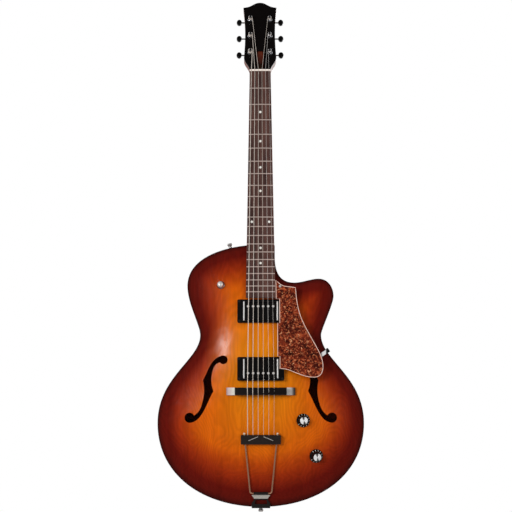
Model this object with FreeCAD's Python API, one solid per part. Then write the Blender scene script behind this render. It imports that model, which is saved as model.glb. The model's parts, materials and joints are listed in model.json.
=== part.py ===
import FreeCAD, Part
import math
import os

# Archtop guitar with one cutaway, in millimetres. X runs to the treble side, Y to the back, Z up the neck.
# The origin is the seat of the tail's strap button, on the centre line and halfway through the sides.

V = FreeCAD.Vector
X_AXIS = V(1, 0, 0)
Y_AXIS = V(0, 1, 0)
Z_AXIS = V(0, 0, 1)

# Body plan: half widths from the centre line, heights above the tail and drops below the neck's end
BODY_LENGTH = 514.0
LOWER_BOUT_HALF = 203.2
LOWER_BOUT_Z = 163.0
WAIST_HALF = 119.9
WAIST_DROP = 179.0
BASS_BOUT_HALF = 145.8
BASS_BOUT_DROP = 81.0
HORN_HALF = 145.4
HORN_DROP = 101.5
HORN_TIP_X = 115.6
HORN_TIP_DROP = 67.0
CUTAWAY_X = 67.8
CUTAWAY_DROP = 74.8
CUTAWAY_TURN_DROP = 24.0
NECK_SIDE = 28.5
SHOULDER_SLOPE = 0.1

# Body plan: how far each curve keeps to its end tangent, for the flanks as a part of their height
FLANK_HOLD_LOWER = 0.527
FLANK_HOLD_WAIST = 0.285
TAIL_REACH = 116.0
LOWER_REACH_DOWN = 99.5
WAIST_REACH_BASS = 20.0
WAIST_REACH_TREBLE = 10.0
BASS_REACH_DOWN = 36.0
BASS_REACH_UP = 53.0
SHOULDER_REACH = 54.0
HORN_REACH_DOWN = 16.0
HORN_REACH_UP = 15.8
HORN_TIP_REACH_OUT = 20.6
HORN_TIP_REACH_IN = 15.0
CUTAWAY_REACH_OUT = 15.5
CUTAWAY_REACH_IN = 14.4
CUTAWAY_REACH_UP = 47.0

# Body depth, walls and arching
RIM_DEPTH = 76.0
PLATE_THICKNESS = 4.0
SIDE_THICKNESS = 2.6
ARCH_TOP = 17.5
ARCH_BACK = 15.0
ARCH_BORDER = 6.0
ARCH_RUN = 112.0
ARCH_GRID = 11.0
ARCH_MARGIN = 14.0
PLAN_STEPS = 30
INSET_STEPS = 10
SEAT_GAP = 0.15
LINING_WIDTH = 6.0
LINING_DEPTH = 14.0
NECK_BLOCK_HEIGHT = 60.0
NECK_BLOCK_HALF = 34.0
TAIL_BLOCK_HEIGHT = 20.0
TAIL_BLOCK_HALF = 36.0
TONE_BAR_X = 45.0
TONE_BAR_WIDTH = 6.0
TONE_BAR_DEPTH = 12.0
TONE_BAR_LOW = 100.0
TONE_BAR_LENGTH = 245.0

# Neck, fingerboard and frets
SCALE = 648.0
NECK_ANGLE = 3.8
BODY_FRET = 14
BODY_FRET_GAP = 1.5
NECK_RISE = 14.0
FRET_COUNT = 21
BOARD_THICKNESS = 6.0
BOARD_RADIUS = 406.0
NUT_WIDTH = 42.8
BOARD_TAPER = 0.0335
BOARD_TAIL = 12.0
FRET_WIDTH = 2.0
FRET_HEIGHT = 1.1
FRET_INSET = 0.4
TANG_WIDTH = 0.5
TANG_DEPTH = 1.8
DOT_RADIUS = 2.5
DOT_DEPTH = 1.2
DOT_FRETS = (3, 5, 7, 9, 15, 17)
DOUBLE_DOT_FRET = 12
DOUBLE_DOT_X = 17.3
NUT_THICKNESS = 3.4
NUT_HEIGHT = 2.3
SHAFT_DEPTH_NUT = 15.0
SHAFT_DEPTH_HEEL = 18.0
HEEL_HALF_TOP = 26.3
HEEL_HALF_END = 13.0
HEEL_REACH_TOP = 46.0
HEEL_REACH_END = 15.0
HEEL_END_INSET = 1.0
TONGUE_HALF = 26.0

# Headstock: half widths and heights along its own face, measured from the nut
HEAD_ANGLE = 12.0
HEAD_STEP = 4.0
OVERLAY_THICKNESS = 2.0
HEAD_CORE = 14.0
HEAD_NUT_HALF = 21.7
HEAD_LOW_HALF = 33.3
HEAD_LOW_Z = 30.0
HEAD_WAIST_HALF = 31.0
HEAD_TOP_HALF = 34.8
HEAD_TOP_Z = 151.5
HEAD_PEAK_Z = 163.8
HEAD_ROOT = 16.0
TRUSS_RADIUS = 3.0
TRUSS_DEPTH = 10.4
TRUSS_LENGTH = 400.0
TRUSS_NUT_RADIUS = 4.2
TRUSS_NUT_LENGTH = 13.0
SCOOP_RADIUS = 6.8
SCOOP_LENGTH = 43.5

# Tuners
POST_X = 20.0
POST_FIRST_Z = 41.8
POST_SPACING = 39.9
POST_RADIUS = 3.0
POST_HEIGHT = 12.5
POST_FIT = 0.05
BUSHING_RADIUS = 4.4
BUSHING_LENGTH = 10.0
BUSHING_FLANGE = 5.6
BUSHING_RISE = 2.2
GEAR_TEETH = 15
GEAR_MODULE = 0.5
GEAR_FACE = 2.0
WORM_RADIUS = 2.0
WORM_TURNS = 4
WORM_SHAFT_RADIUS = 1.45
TOOTH_CLEARANCE = 0.2
HOUSING_WALL = 1.2
HOUSING_DEPTH = 9.2
HOUSING_ROOM = 0.7
HOUSING_TAB = 8.0
BUTTON_X = 23.5
BUTTON_WIDTH = 11.0
BUTTON_HEIGHT = 13.4
BUTTON_THICKNESS = 7.6
BUTTON_ROUND = 2.6

# Strings, bass to treble
STRING_DIAMETERS = (1.42, 1.17, 0.91, 0.66, 0.46, 0.36)
WOUND_COUNT = 4
NUT_STRING_SPACING = 7.2
BRIDGE_STRING_SPACING = 10.4
TAIL_STRING_SPACING = 10.2
STRING_RISE_NUT = 1.5
STRING_RISE_BRIDGE = 4.7
STRING_BEND = 6.0
STRING_CLEARANCE = 0.15
WINDING_TURNS = 3
WINDING_GAP = 0.5
WINDING_TOP = 9.6
WINDING_CLEARANCE = 0.3

# Sound holes: points from the middle of the bass hole, mirrored for the treble one
F_HOLE_X = 104.0
F_HOLE_Z = 6.0
F_UPPER_EYE = (30.3, 55.5)
F_UPPER_RADIUS = 8.5
F_LOWER_EYE = (-35.8, -57.6)
F_LOWER_RADIUS = 9.9
F_OUTER_POINT = (-10.0, 15.2)
F_INNER_POINT = (11.2, -5.8)
F_OUTER_UPPER = ((29.6, 64.2), (13.9, 57.1), (2.4, 41.4), F_OUTER_POINT)
F_OUTER_LOWER = (F_OUTER_POINT, (-7.4, -5.0), (-11.0, -29.0), (-17.0, -43.5), (-31.0, -55.0))
F_INNER_LOWER = ((-36.0, -67.5), (-22.7, -62.8), (-9.1, -46.6), (0.3, -27.7), F_INNER_POINT)
F_INNER_UPPER = (F_INNER_POINT, (7.2, 9.0), (9.2, 34.0), (14.0, 44.5), (24.0, 50.5))

# Pickups
RING_WIDTH = 92.0
RING_HEIGHT = 46.0
RING_CORNER = 3.0
RING_LIP = 6.8
BRIDGE_RING_LIP = 8.0
COVER_WIDTH = 63.2
COVER_HEIGHT = 38.0
COVER_DEPTH = 17.0
COVER_RISE = 2.8
COVER_WALL = 1.2
COVER_ROUND = 1.0
SIDE_BAR_WIDTH = 2.8
PICKUP_CLEARANCE = 0.5
POLE_SPACING = 9.9
POLE_OFFSET = 9.0
POLE_HEAD_RADIUS = 2.4
POLE_HEAD_HEIGHT = 0.9
POLE_RADIUS = 1.5
POLE_LENGTH = 14.0
COIL_HEIGHT = 15.0
COIL_DEPTH = 9.0
NECK_PICKUP_GAP = 3.0
BRIDGE_PICKUP_GAP = 44.0
RING_SCREW_INSET = 3.6

# Bridge
BRIDGE_COMPENSATION = 3.1
BASE_HALF = 67.4
BASE_FLAT_HALF = 50.0
BASE_HEIGHT = 14.7
BASE_FRONT = 5.2
BASE_RAMP_DROP = 2.6
SADDLE_HALF = 49.5
SADDLE_HEIGHT = 14.5
SADDLE_CHAMFER = 2.0
SADDLE_LOWERING = 3.0
STUD_X = 37.0
STUD_RADIUS = 2.0
STUD_FIT = 0.08
WHEEL_RADIUS = 8.0
WHEEL_THICKNESS = 2.8
WHEEL_GAP = 0.3
SADDLE_STUD_HOLE = 6.0

# Tailpiece: the wire takes a part of the way from its hinge to the bridge
HINGE_Z = 26.6
HINGE_Y = -45.2
HINGE_BARREL = 2.8
HINGE_HALF = 14.0
WIRE_RADIUS = 1.5
WIRE_FIT = 0.08
WIRE_FOOT_HALF = 20.8
WIRE_TOP_HALF = 32.4
WIRE_SPAN = 0.587
WIRE_BEND = 5.0
WIRE_BALL = 2.3
BAR_WIDTH = 78.0
BAR_HEIGHT = 18.0
BAR_THICKNESS = 8.0
BAR_ROUND = 1.5
BAR_TOP_GAP = 2.6
BAR_RISE = 18.4
STRING_HOLE_RADIUS = 1.3
STRING_HOLE_DEPTH = 8.0
BRACKET_THICKNESS = 1.8
BRACKET_HALF = 18.0
BRACKET_WAIST_HALF = 13.7
BRACKET_WAIST_Z = 15.5
BRACKET_LEG = 3.2
BRACKET_WINDOW_LOW = 6.0
BRACKET_WINDOW_HIGH = 14.5
BRACKET_FOOT_Y = -10.0
BRACKET_SCREWS = ((-9.0, -17.0), (9.0, -17.0), (0.0, -28.0))

# Pickguard: plan points from the pickups' middles
GUARD_THICKNESS = 2.4
GUARD_BOARD_GAP = 1.6
GUARD_NOTCH_X = 37.6
GUARD_INNER_X = 33.4
GUARD_NOTCH_MARGIN = 1.0
GUARD_TIP_Z = 61.0
GUARD_SHOULDER = (51.0, 48.5)
GUARD_CORNER = (69.0, 46.2)
GUARD_SIDE = (96.0, 66.0)
GUARD_ROUND_SIDE = (121.5, 4.0)
GUARD_ROUND_LOW = (104.0, -16.8)
GUARD_LOW = (61.6, -5.2)
GUARD_SCREW = (38.5, 49.0)
GUARD_SPACER_RADIUS = 3.6
GUARD_BRACKET_DROP = 32.0
GUARD_STRAP_WIDTH = 7.0
GUARD_STRAP_THICKNESS = 1.6
GUARD_STRAP_REACH = 34.0
GUARD_STRAP_FOOT = 22.0
GUARD_SCREW_RADIUS = 4.6
GUARD_SCREW_HEAD = 4.0
GUARD_SCREW_SHANK = 2.0
GUARD_SCREW_LENGTH = 9.0

# Controls and jack
VOLUME_X = 82.6
VOLUME_Z = 167.9
TONE_X = 108.0
TONE_Z = 98.8
KNOB_SKIRT_RADIUS = 13.2
KNOB_SKIRT_HEIGHT = 4.0
KNOB_RADIUS = 9.2
KNOB_HEIGHT = 14.0
KNOB_GAP = 0.6
SHAFT_RADIUS = 3.0
SHAFT_FIT = 0.06
POT_RADIUS = 12.0
POT_DEPTH = 9.0
POT_BUSHING_RADIUS = 4.0
POT_BUSHING_RISE = 4.0
KNOB_BORE_HEIGHT = 11.0
TOGGLE_X = -79.0
TOGGLE_DROP = 80.0
TOGGLE_BUSHING_RADIUS = 5.8
TOGGLE_BUSHING_RISE = 3.0
TOGGLE_FLANGE_RADIUS = 7.6
TOGGLE_FLANGE_HEIGHT = 1.6
TOGGLE_BORE = 4.58
TOGGLE_BALL = 4.5
TOGGLE_LEVER_RADIUS = 1.4
TOGGLE_LEVER_LENGTH = 11.0
TOGGLE_TIP_RADIUS = 6.0
TOGGLE_TIP_HEIGHT = 8.0
TOGGLE_BODY_WIDTH = 14.0
TOGGLE_BODY_HEIGHT = 30.0
TOGGLE_BODY_DEPTH = 18.0
JACK_Z = 92.0
JACK_Y = 4.0
JACK_BORE = 3.2
JACK_RADIUS = 4.7
JACK_BODY_RADIUS = 7.5
JACK_DEPTH = 24.0
JACK_RISE = 4.0
JACK_NUT_FLATS = 12.0
JACK_NUT_THICKNESS = 2.6

# Small wood screws and strap buttons
SCREW_HEAD_RADIUS = 2.5
SCREW_HEAD_HEIGHT = 1.5
SCREW_RADIUS = 1.1
SCREW_LENGTH = 12.0
SCREW_TIP = 2.0
STRAP_BASE_RADIUS = 5.6
STRAP_WAIST_RADIUS = 3.4
STRAP_HEAD_RADIUS = 5.4
STRAP_HEIGHT = 13.5
STRAP_SCREW_RADIUS = 2.0
STRAP_SCREW_LENGTH = 27.0
STRAP_SCREW_HEAD = 3.2
SHOULDER_BUTTON_X = -60.0
SHOULDER_BUTTON_Y = 0.0

# Derived places
HALF_DEPTH = RIM_DEPTH / 2
SIDE_HALF_DEPTH = HALF_DEPTH - PLATE_THICKNESS - SEAT_GAP
WAIST_Z = BODY_LENGTH - WAIST_DROP
BASS_BOUT_Z = BODY_LENGTH - BASS_BOUT_DROP
HORN_Z = BODY_LENGTH - HORN_DROP
HORN_TIP_Z = BODY_LENGTH - HORN_TIP_DROP
CUTAWAY_Z = BODY_LENGTH - CUTAWAY_DROP
CUTAWAY_TURN_Z = BODY_LENGTH - CUTAWAY_TURN_DROP
GUARD_BRACKET_Z = WAIST_Z - GUARD_BRACKET_DROP
TOGGLE_Z = BODY_LENGTH - TOGGLE_DROP
BODY_FRET_T = SCALE * (1 - 2 ** (-BODY_FRET / 12))
BOARD_LENGTH = SCALE * (1 - 2 ** (-FRET_COUNT / 12)) + BOARD_TAIL
ANGLE_SIN = math.sin(math.radians(NECK_ANGLE))
ANGLE_COS = math.cos(math.radians(NECK_ANGLE))
NUT_Z = BODY_LENGTH + BODY_FRET_GAP + BODY_FRET_T * ANGLE_COS
NUT_Y = -HALF_DEPTH - NECK_RISE + BODY_FRET_T * ANGLE_SIN
BOARD_END_Z = NUT_Z - BOARD_LENGTH * ANGLE_COS
BRIDGE_Z = NUT_Z - SCALE * ANGLE_COS - BRIDGE_COMPENSATION
NECK_PICKUP_Z = BOARD_END_Z - NECK_PICKUP_GAP - RING_HEIGHT / 2
BRIDGE_PICKUP_Z = BRIDGE_Z + BRIDGE_PICKUP_GAP
WIRE_RUN = (BRIDGE_Z - HINGE_Z) * WIRE_SPAN
WIRE_LENGTH = math.hypot(WIRE_RUN, BAR_RISE)
BAR_TILT = math.degrees(math.atan2(BAR_RISE, WIRE_RUN))
NECK_PLACE = FreeCAD.Placement(V(0, NUT_Y, NUT_Z), FreeCAD.Rotation(X_AXIS, -NECK_ANGLE))
HEAD_PLACE = NECK_PLACE.multiply(
    FreeCAD.Placement(V(0, HEAD_STEP, NUT_THICKNESS), FreeCAD.Rotation(X_AXIS, -HEAD_ANGLE)))
BAR_PLACE = FreeCAD.Placement(V(0, HINGE_Y, HINGE_Z), FreeCAD.Rotation(X_AXIS, BAR_TILT))
HEAD_THICKNESS = OVERLAY_THICKNESS + HEAD_CORE


# General shapes

def box(x0, x1, y0, y1, z0, z1):
    return Part.makeBox(x1 - x0, y1 - y0, z1 - z0, V(x0, y0, z0))


def placed(shape, placement):
    """A copy of a shape, moved from a local frame to the guitar's."""
    moved = shape.copy()
    moved.Placement = placement.multiply(moved.Placement)
    return moved


def standing(shape, base, axis):
    """A copy of a shape made along Z, stood on a base point along an axis."""
    return placed(shape, FreeCAD.Placement(base, FreeCAD.Rotation(Z_AXIS, axis)))


def turned(profile, base, axis):
    """A solid of revolution from (radius, height) points, stood on a base point."""
    points = [V(radius, 0, height) for radius, height in profile]
    face = Part.Face(Part.makePolygon(points + [points[0]]))
    return standing(face.revolve(V(0, 0, 0), Z_AXIS, 360), base, axis)


def flat_solid(points, y0, y1):
    """A plate cut from a polygon of (x, z) points, between two depths."""
    corners = [V(x, y0, z) for x, z in points]
    return Part.Face(Part.makePolygon(corners + [corners[0]])).extrude(V(0, y1 - y0, 0))


def wire_solid(wire, y0, y1):
    """A plate cut from a wire in the plane of y = 0, between two depths."""
    outline = wire.copy()
    outline.translate(V(0, y0, 0))
    return Part.Face(outline).extrude(V(0, y1 - y0, 0))


def rounded_block(width, height, corner, y0, y1):
    """A block with rounded upright corners, centred on x = z = 0."""
    block = box(-width / 2, width / 2, y0, y1, -height / 2, height / 2)
    upright = [edge for edge in block.Edges if abs(edge.tangentAt(edge.FirstParameter).y) > 0.9]
    return block.makeFillet(corner, upright)


def spline(points):
    curve = Part.BSplineCurve()
    curve.interpolate([V(x, 0, z) for x, z in points])
    return curve.toShape()


def bezier(*points):
    curve = Part.BezierCurve()
    curve.setPoles([V(x, 0, z) for x, z in points])
    return curve


def union(shapes):
    result = shapes[0].fuse(shapes[1:]) if len(shapes) > 1 else shapes[0]
    return result.removeSplitter()


# Body plan

def plan_curves():
    """The plan's curves, from the neck's treble corner round the tail to its bass corner."""
    lower = LOWER_BOUT_HALF
    waist = WAIST_HALF
    bass = -BASS_BOUT_HALF
    treble_low = (lower, LOWER_BOUT_Z)
    treble_waist = (waist, WAIST_Z)
    bass_waist = (-waist, WAIST_Z)
    bass_bout = (bass, BASS_BOUT_Z)
    horn = (HORN_HALF, HORN_Z)
    tip = (HORN_TIP_X, HORN_TIP_Z)
    cutaway = (CUTAWAY_X, CUTAWAY_Z)
    turn = (NECK_SIDE, CUTAWAY_TURN_Z)
    shoulder_handle = (-NECK_SIDE - SHOULDER_REACH, BODY_LENGTH - SHOULDER_REACH * SHOULDER_SLOPE)
    flank = WAIST_Z - LOWER_BOUT_Z
    flank_low_z = LOWER_BOUT_Z + flank * FLANK_HOLD_LOWER
    flank_high_z = WAIST_Z - flank * FLANK_HOLD_WAIST
    return [
        bezier((NECK_SIDE, BODY_LENGTH), turn),
        bezier(turn, (NECK_SIDE, CUTAWAY_TURN_Z - CUTAWAY_REACH_UP),
               (CUTAWAY_X - CUTAWAY_REACH_IN, CUTAWAY_Z), cutaway),
        bezier(cutaway, (CUTAWAY_X + CUTAWAY_REACH_OUT, CUTAWAY_Z),
               (HORN_TIP_X - HORN_TIP_REACH_IN, HORN_TIP_Z), tip),
        bezier(tip, (HORN_TIP_X + HORN_TIP_REACH_OUT, HORN_TIP_Z), (HORN_HALF, HORN_Z + HORN_REACH_UP), horn),
        bezier(horn, (HORN_HALF, HORN_Z - HORN_REACH_DOWN),
               (waist, WAIST_Z + WAIST_REACH_TREBLE), treble_waist),
        bezier(treble_waist, (waist, flank_high_z), (lower, flank_low_z), treble_low),
        bezier(treble_low, (lower, LOWER_BOUT_Z - LOWER_REACH_DOWN), (TAIL_REACH, 0), (0, 0)),
        bezier((0, 0), (-TAIL_REACH, 0), (-lower, LOWER_BOUT_Z - LOWER_REACH_DOWN), (-lower, LOWER_BOUT_Z)),
        bezier((-lower, LOWER_BOUT_Z), (-lower, flank_low_z), (-waist, flank_high_z), bass_waist),
        bezier(bass_waist, (-waist, WAIST_Z + WAIST_REACH_BASS),
               (bass, BASS_BOUT_Z - BASS_REACH_DOWN), bass_bout),
        bezier(bass_bout, (bass, BASS_BOUT_Z + BASS_REACH_UP), shoulder_handle, (-NECK_SIDE, BODY_LENGTH)),
    ]


CURVES = plan_curves()
TREBLE_WAIST_CURVE = CURVES[5]
TREBLE_LOWER_CURVE = CURVES[6]
SHOULDER_CURVE = CURVES[10]


def outward(curve, parameter):
    tangent = curve.tangent(parameter)[0]
    return V(-tangent.z, 0, tangent.x)


def plan_wire(inset=0.0):
    """The plan's closed wire, moved inwards by an inset."""
    edges = []
    corners = []
    for curve in CURVES:
        points = []
        for step in range(INSET_STEPS + 1):
            parameter = step / INSET_STEPS
            points.append(curve.value(parameter) - outward(curve, parameter) * inset)
        if curve is CURVES[0]:
            points = [V(points[0].x, 0, BODY_LENGTH - inset), points[-1]]
            edges.append(Part.LineSegment(points[0], points[1]).toShape())
        else:
            offset = Part.BSplineCurve()
            offset.interpolate(points)
            edges.append(offset.toShape())
        corners.append((points[0], points[-1]))
    edges.append(Part.LineSegment(corners[-1][1], corners[0][0]).toShape())
    return Part.Wire(edges)


def edge_point(curve, axis, value):
    """The point of a plan curve where x or z has a value, and the way out there."""
    low, high = 0.0, 1.0
    rising = getattr(curve.value(1), axis) > getattr(curve.value(0), axis)
    for step in range(50):
        middle = (low + high) / 2
        if (getattr(curve.value(middle), axis) < value) == rising:
            low = middle
        else:
            high = middle
    return curve.value(low), outward(curve, low)


def plan_samples():
    """Points along the whole edge, each with the length of edge that it stands for."""
    samples = []
    closing = bezier((-NECK_SIDE, BODY_LENGTH), (NECK_SIDE, BODY_LENGTH))
    for curve in CURVES + [closing]:
        for step in range(PLAN_STEPS):
            start = curve.value(step / PLAN_STEPS)
            end = curve.value((step + 1) / PLAN_STEPS)
            samples.append(((start.x + end.x) / 2, (start.z + end.z) / 2, (end - start).Length))
    return samples


SAMPLES = plan_samples()


def arch_share(x, z):
    """How much of the arch's full height stands at a place: none at the edge, all in the middle."""
    inside = False
    crowding = 0.0
    last_x, last_z, _ = SAMPLES[-1]
    for edge_x, edge_z, length in SAMPLES:
        if (edge_z > z) != (last_z > z):
            if x < (last_x - edge_x) * (z - edge_z) / (last_z - edge_z) + edge_x:
                inside = not inside
        crowding += length / ((x - edge_x) ** 2 + (z - edge_z) ** 2 + 0.01) ** 2
        last_x, last_z = edge_x, edge_z
    if not inside:
        return 0.0
    depth = (math.pi / 2 / crowding) ** (1 / 3)
    run = min(max((depth - ARCH_BORDER) / ARCH_RUN, 0.0), 1.0)
    return run * run * (3 - 2 * run)


def arch_grid():
    """Rows of (x, z, share) over the plan and a margin round it."""
    half = max(LOWER_BOUT_HALF, BASS_BOUT_HALF, HORN_HALF) + ARCH_MARGIN
    columns = math.ceil(2 * half / ARCH_GRID)
    rows = math.ceil((BODY_LENGTH + 2 * ARCH_MARGIN) / ARCH_GRID)
    grid = []
    for column in range(columns + 1):
        x = -half + 2 * half * column / columns
        line = []
        for row in range(rows + 1):
            z = -ARCH_MARGIN + (BODY_LENGTH + 2 * ARCH_MARGIN) * row / rows
            line.append((x, z, arch_share(x, z)))
        grid.append(line)
    return grid


GRID = arch_grid()


def arch_face(edge_y, height):
    """A smooth arched face over the plan's rectangle."""
    surface = Part.BSplineSurface()
    surface.interpolate([[V(x, edge_y + height * share, z) for x, z, share in line] for line in GRID])
    return surface.toShape()


TOP_FACE = arch_face(-HALF_DEPTH, -ARCH_TOP)
BACK_FACE = arch_face(HALF_DEPTH, ARCH_BACK)


def behind_top(offset):
    """All that lies behind the top's outer face, moved back by an offset."""
    face = TOP_FACE.copy()
    face.translate(V(0, offset, 0))
    return face.extrude(V(0, RIM_DEPTH, 0))


ON_TOP = behind_top(-SEAT_GAP)


def in_front_of_inner_face():
    """All that lies in front of the top's inner face."""
    face = TOP_FACE.copy()
    face.translate(V(0, PLATE_THICKNESS + SEAT_GAP, 0))
    return face.extrude(V(0, -RIM_DEPTH, 0))


def top_seat(x, z):
    """A point on the top's outer face and the way out of it."""
    step = 1.0
    y = -HALF_DEPTH - ARCH_TOP * arch_share(x, z)
    slope_x = -ARCH_TOP * (arch_share(x + step, z) - arch_share(x - step, z)) / (2 * step)
    slope_z = -ARCH_TOP * (arch_share(x, z + step) - arch_share(x, z - step)) / (2 * step)
    normal = V(slope_x, -1, slope_z)
    normal.normalize()
    return V(x, y, z), normal


def board_y(z):
    """The fingerboard's plane, carried on down over the body."""
    return NUT_Y - (NUT_Z - z) * ANGLE_SIN / ANGLE_COS


def board_half(t):
    return (NUT_WIDTH + BOARD_TAPER * t) / 2


# Fasteners

def wood_screw(base, outwards):
    """A small countersunk wood screw, its head's face at the base point."""
    profile = [(0, 0), (SCREW_HEAD_RADIUS, 0), (SCREW_RADIUS, -SCREW_HEAD_HEIGHT),
               (SCREW_RADIUS, SCREW_TIP - SCREW_LENGTH), (0, -SCREW_LENGTH)]
    return turned(profile, base, outwards)


def ring_screw_places(centre_z, lip):
    """Head places of a ring's four screws, on its front face."""
    front = ring_place(centre_z, lip)
    places = []
    for side in (-1, 1):
        for end in (-1, 1):
            x = side * (RING_WIDTH / 2 - RING_SCREW_INSET)
            z = end * (RING_HEIGHT / 2 - RING_SCREW_INSET)
            places.append((front.multVec(V(x, 0, z)), front.Rotation.multVec(-Y_AXIS)))
    return places


def small_screws():
    """Every small screw: rings, tuner housings, tailpiece bracket and pickguard."""
    places = ring_screw_places(NECK_PICKUP_Z, RING_LIP) + ring_screw_places(BRIDGE_PICKUP_Z, BRIDGE_RING_LIP)
    for place, bass in tuner_places():
        tab = V(0, HEAD_THICKNESS + HOUSING_WALL, -housing_tab_z())
        places.append((place.multVec(tab), place.Rotation.multVec(Y_AXIS)))
    for x, y in BRACKET_SCREWS:
        places.append((V(x, y, -BRACKET_THICKNESS), -Z_AXIS))
    guard_x, guard_z = guard_screw_place()
    places.append((V(guard_x, board_y(guard_z), guard_z), guard_normal()))
    return [wood_screw(base, outwards) for base, outwards in places]


def strap_button_places():
    point, way_out = edge_point(SHOULDER_CURVE, "x", SHOULDER_BUTTON_X)
    return [(V(0, 0, 0), -Z_AXIS), (V(point.x, SHOULDER_BUTTON_Y, point.z), way_out)]


def strap_button(base, outwards):
    """A turned button, wide at the seat and the head, with a screw hole."""
    hole = STRAP_SCREW_RADIUS
    sink = STRAP_SCREW_HEAD - hole
    profile = [(hole, 0), (STRAP_BASE_RADIUS, 0), (STRAP_WAIST_RADIUS, STRAP_HEIGHT * 0.3),
               (STRAP_WAIST_RADIUS, STRAP_HEIGHT * 0.55), (STRAP_HEAD_RADIUS, STRAP_HEIGHT * 0.8),
               (STRAP_HEAD_RADIUS * 0.85, STRAP_HEIGHT), (STRAP_SCREW_HEAD, STRAP_HEIGHT),
               (hole, STRAP_HEIGHT - sink)]
    return turned(profile, base, outwards)


def strap_screw(base, outwards):
    sink = STRAP_SCREW_HEAD - STRAP_SCREW_RADIUS
    profile = [(0, STRAP_HEIGHT), (STRAP_SCREW_HEAD, STRAP_HEIGHT), (STRAP_SCREW_RADIUS, STRAP_HEIGHT - sink),
               (STRAP_SCREW_RADIUS, STRAP_HEIGHT - STRAP_SCREW_LENGTH + SCREW_TIP),
               (0, STRAP_HEIGHT - STRAP_SCREW_LENGTH)]
    return turned(profile, base, outwards)


# Body

def f_hole(mirrored):
    """The cutter for one sound hole: two eyes and the swept stem, pointed at its middle."""
    def at(point):
        x = -F_HOLE_X + point[0]
        return (-x if mirrored else x, BRIDGE_Z + F_HOLE_Z + point[1])

    def across(first, second):
        a = at(first)
        b = at(second)
        return Part.LineSegment(V(a[0], 0, a[1]), V(b[0], 0, b[1])).toShape()
    y0 = -HALF_DEPTH - 2 * ARCH_TOP
    y1 = -HALF_DEPTH + 2 * PLATE_THICKNESS
    upper, outer, lower, inner = [spline([at(point) for point in points])
                                  for points in (F_OUTER_UPPER, F_OUTER_LOWER, F_INNER_LOWER, F_INNER_UPPER)]
    low_end = across(F_OUTER_LOWER[-1], F_INNER_LOWER[0])
    high_end = across(F_INNER_UPPER[-1], F_OUTER_UPPER[0])
    cutters = [wire_solid(Part.Wire([upper, outer, low_end, lower, inner, high_end]), y0, y1)]
    for eye, radius in ((F_UPPER_EYE, F_UPPER_RADIUS), (F_LOWER_EYE, F_LOWER_RADIUS)):
        x, z = at(eye)
        cutters.append(Part.makeCylinder(radius, y1 - y0, V(x, y0, z), Y_AXIS))
    return union(cutters)


def top_plate():
    """The arched top, with its sound holes, pickup openings and control holes."""
    plate = TOP_FACE.extrude(V(0, PLATE_THICKNESS, 0))
    plate = plate.common(wire_solid(plan_wire(), -HALF_DEPTH - 2 * ARCH_TOP, 0))
    cutters = [f_hole(False), f_hole(True)]
    opening_width = COVER_WIDTH + 2 * SIDE_BAR_WIDTH + 4 * PICKUP_CLEARANCE
    opening_height = COVER_HEIGHT + 4 * PICKUP_CLEARANCE
    for centre_z in (NECK_PICKUP_Z, BRIDGE_PICKUP_Z):
        opening = box(-opening_width / 2, opening_width / 2, -HALF_DEPTH - 2 * ARCH_TOP, 0,
                      centre_z - opening_height / 2, centre_z + opening_height / 2)
        cutters.append(opening)
    for x, z, radius in ((VOLUME_X, VOLUME_Z, POT_BUSHING_RADIUS), (TONE_X, TONE_Z, POT_BUSHING_RADIUS),
                         (TOGGLE_X, TOGGLE_Z, TOGGLE_BUSHING_RADIUS)):
        base, normal = top_seat(x, z)
        start = base - normal * 3 * PLATE_THICKNESS
        cutters.append(Part.makeCylinder(radius, 6 * PLATE_THICKNESS, start, normal))
    return plate.cut(cutters + small_screws())


def back_plate():
    plate = BACK_FACE.extrude(V(0, -PLATE_THICKNESS, 0))
    return plate.common(wire_solid(plan_wire(), 0, HALF_DEPTH + 2 * ARCH_BACK))


def side(treble):
    """One bent side, from the middle of the tail to the middle of the neck end."""
    depth = SIDE_HALF_DEPTH
    wall = wire_solid(plan_wire(), -depth, depth).cut(wire_solid(plan_wire(SIDE_THICKNESS), -depth, depth))
    reach = 2 * LOWER_BOUT_HALF
    half = box(0, reach, -depth, depth, -reach, BODY_LENGTH + reach)
    if not treble:
        half.translate(V(-reach, 0, 0))
    holes = small_screws()[-1 - len(BRACKET_SCREWS):-1]
    holes += [strap_screw(*place) for place in strap_button_places()]
    if treble:
        point, way_out = jack_seat()
        start = point - way_out * 2 * SIDE_THICKNESS
        holes.append(Part.makeCylinder(JACK_RADIUS, 4 * SIDE_THICKNESS, start, way_out))
        holes.append(guard_screw())
    return wall.common(half).cut(holes)


def block(height_low, height_high, half):
    """A block that fills the body's inside over a stretch of its length."""
    depth = SIDE_HALF_DEPTH
    inside = wire_solid(plan_wire(SIDE_THICKNESS), -depth, depth)
    return inside.common(box(-half, half, -depth, depth, height_low, height_high))


def neck_block():
    return block(BODY_LENGTH - SIDE_THICKNESS - NECK_BLOCK_HEIGHT, BODY_LENGTH, NECK_BLOCK_HALF)


def tail_block():
    holes = small_screws()[-1 - len(BRACKET_SCREWS):-1] + [strap_screw(*strap_button_places()[0])]
    return block(0, SIDE_THICKNESS + TAIL_BLOCK_HEIGHT, TAIL_BLOCK_HALF).cut(holes)


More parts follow.
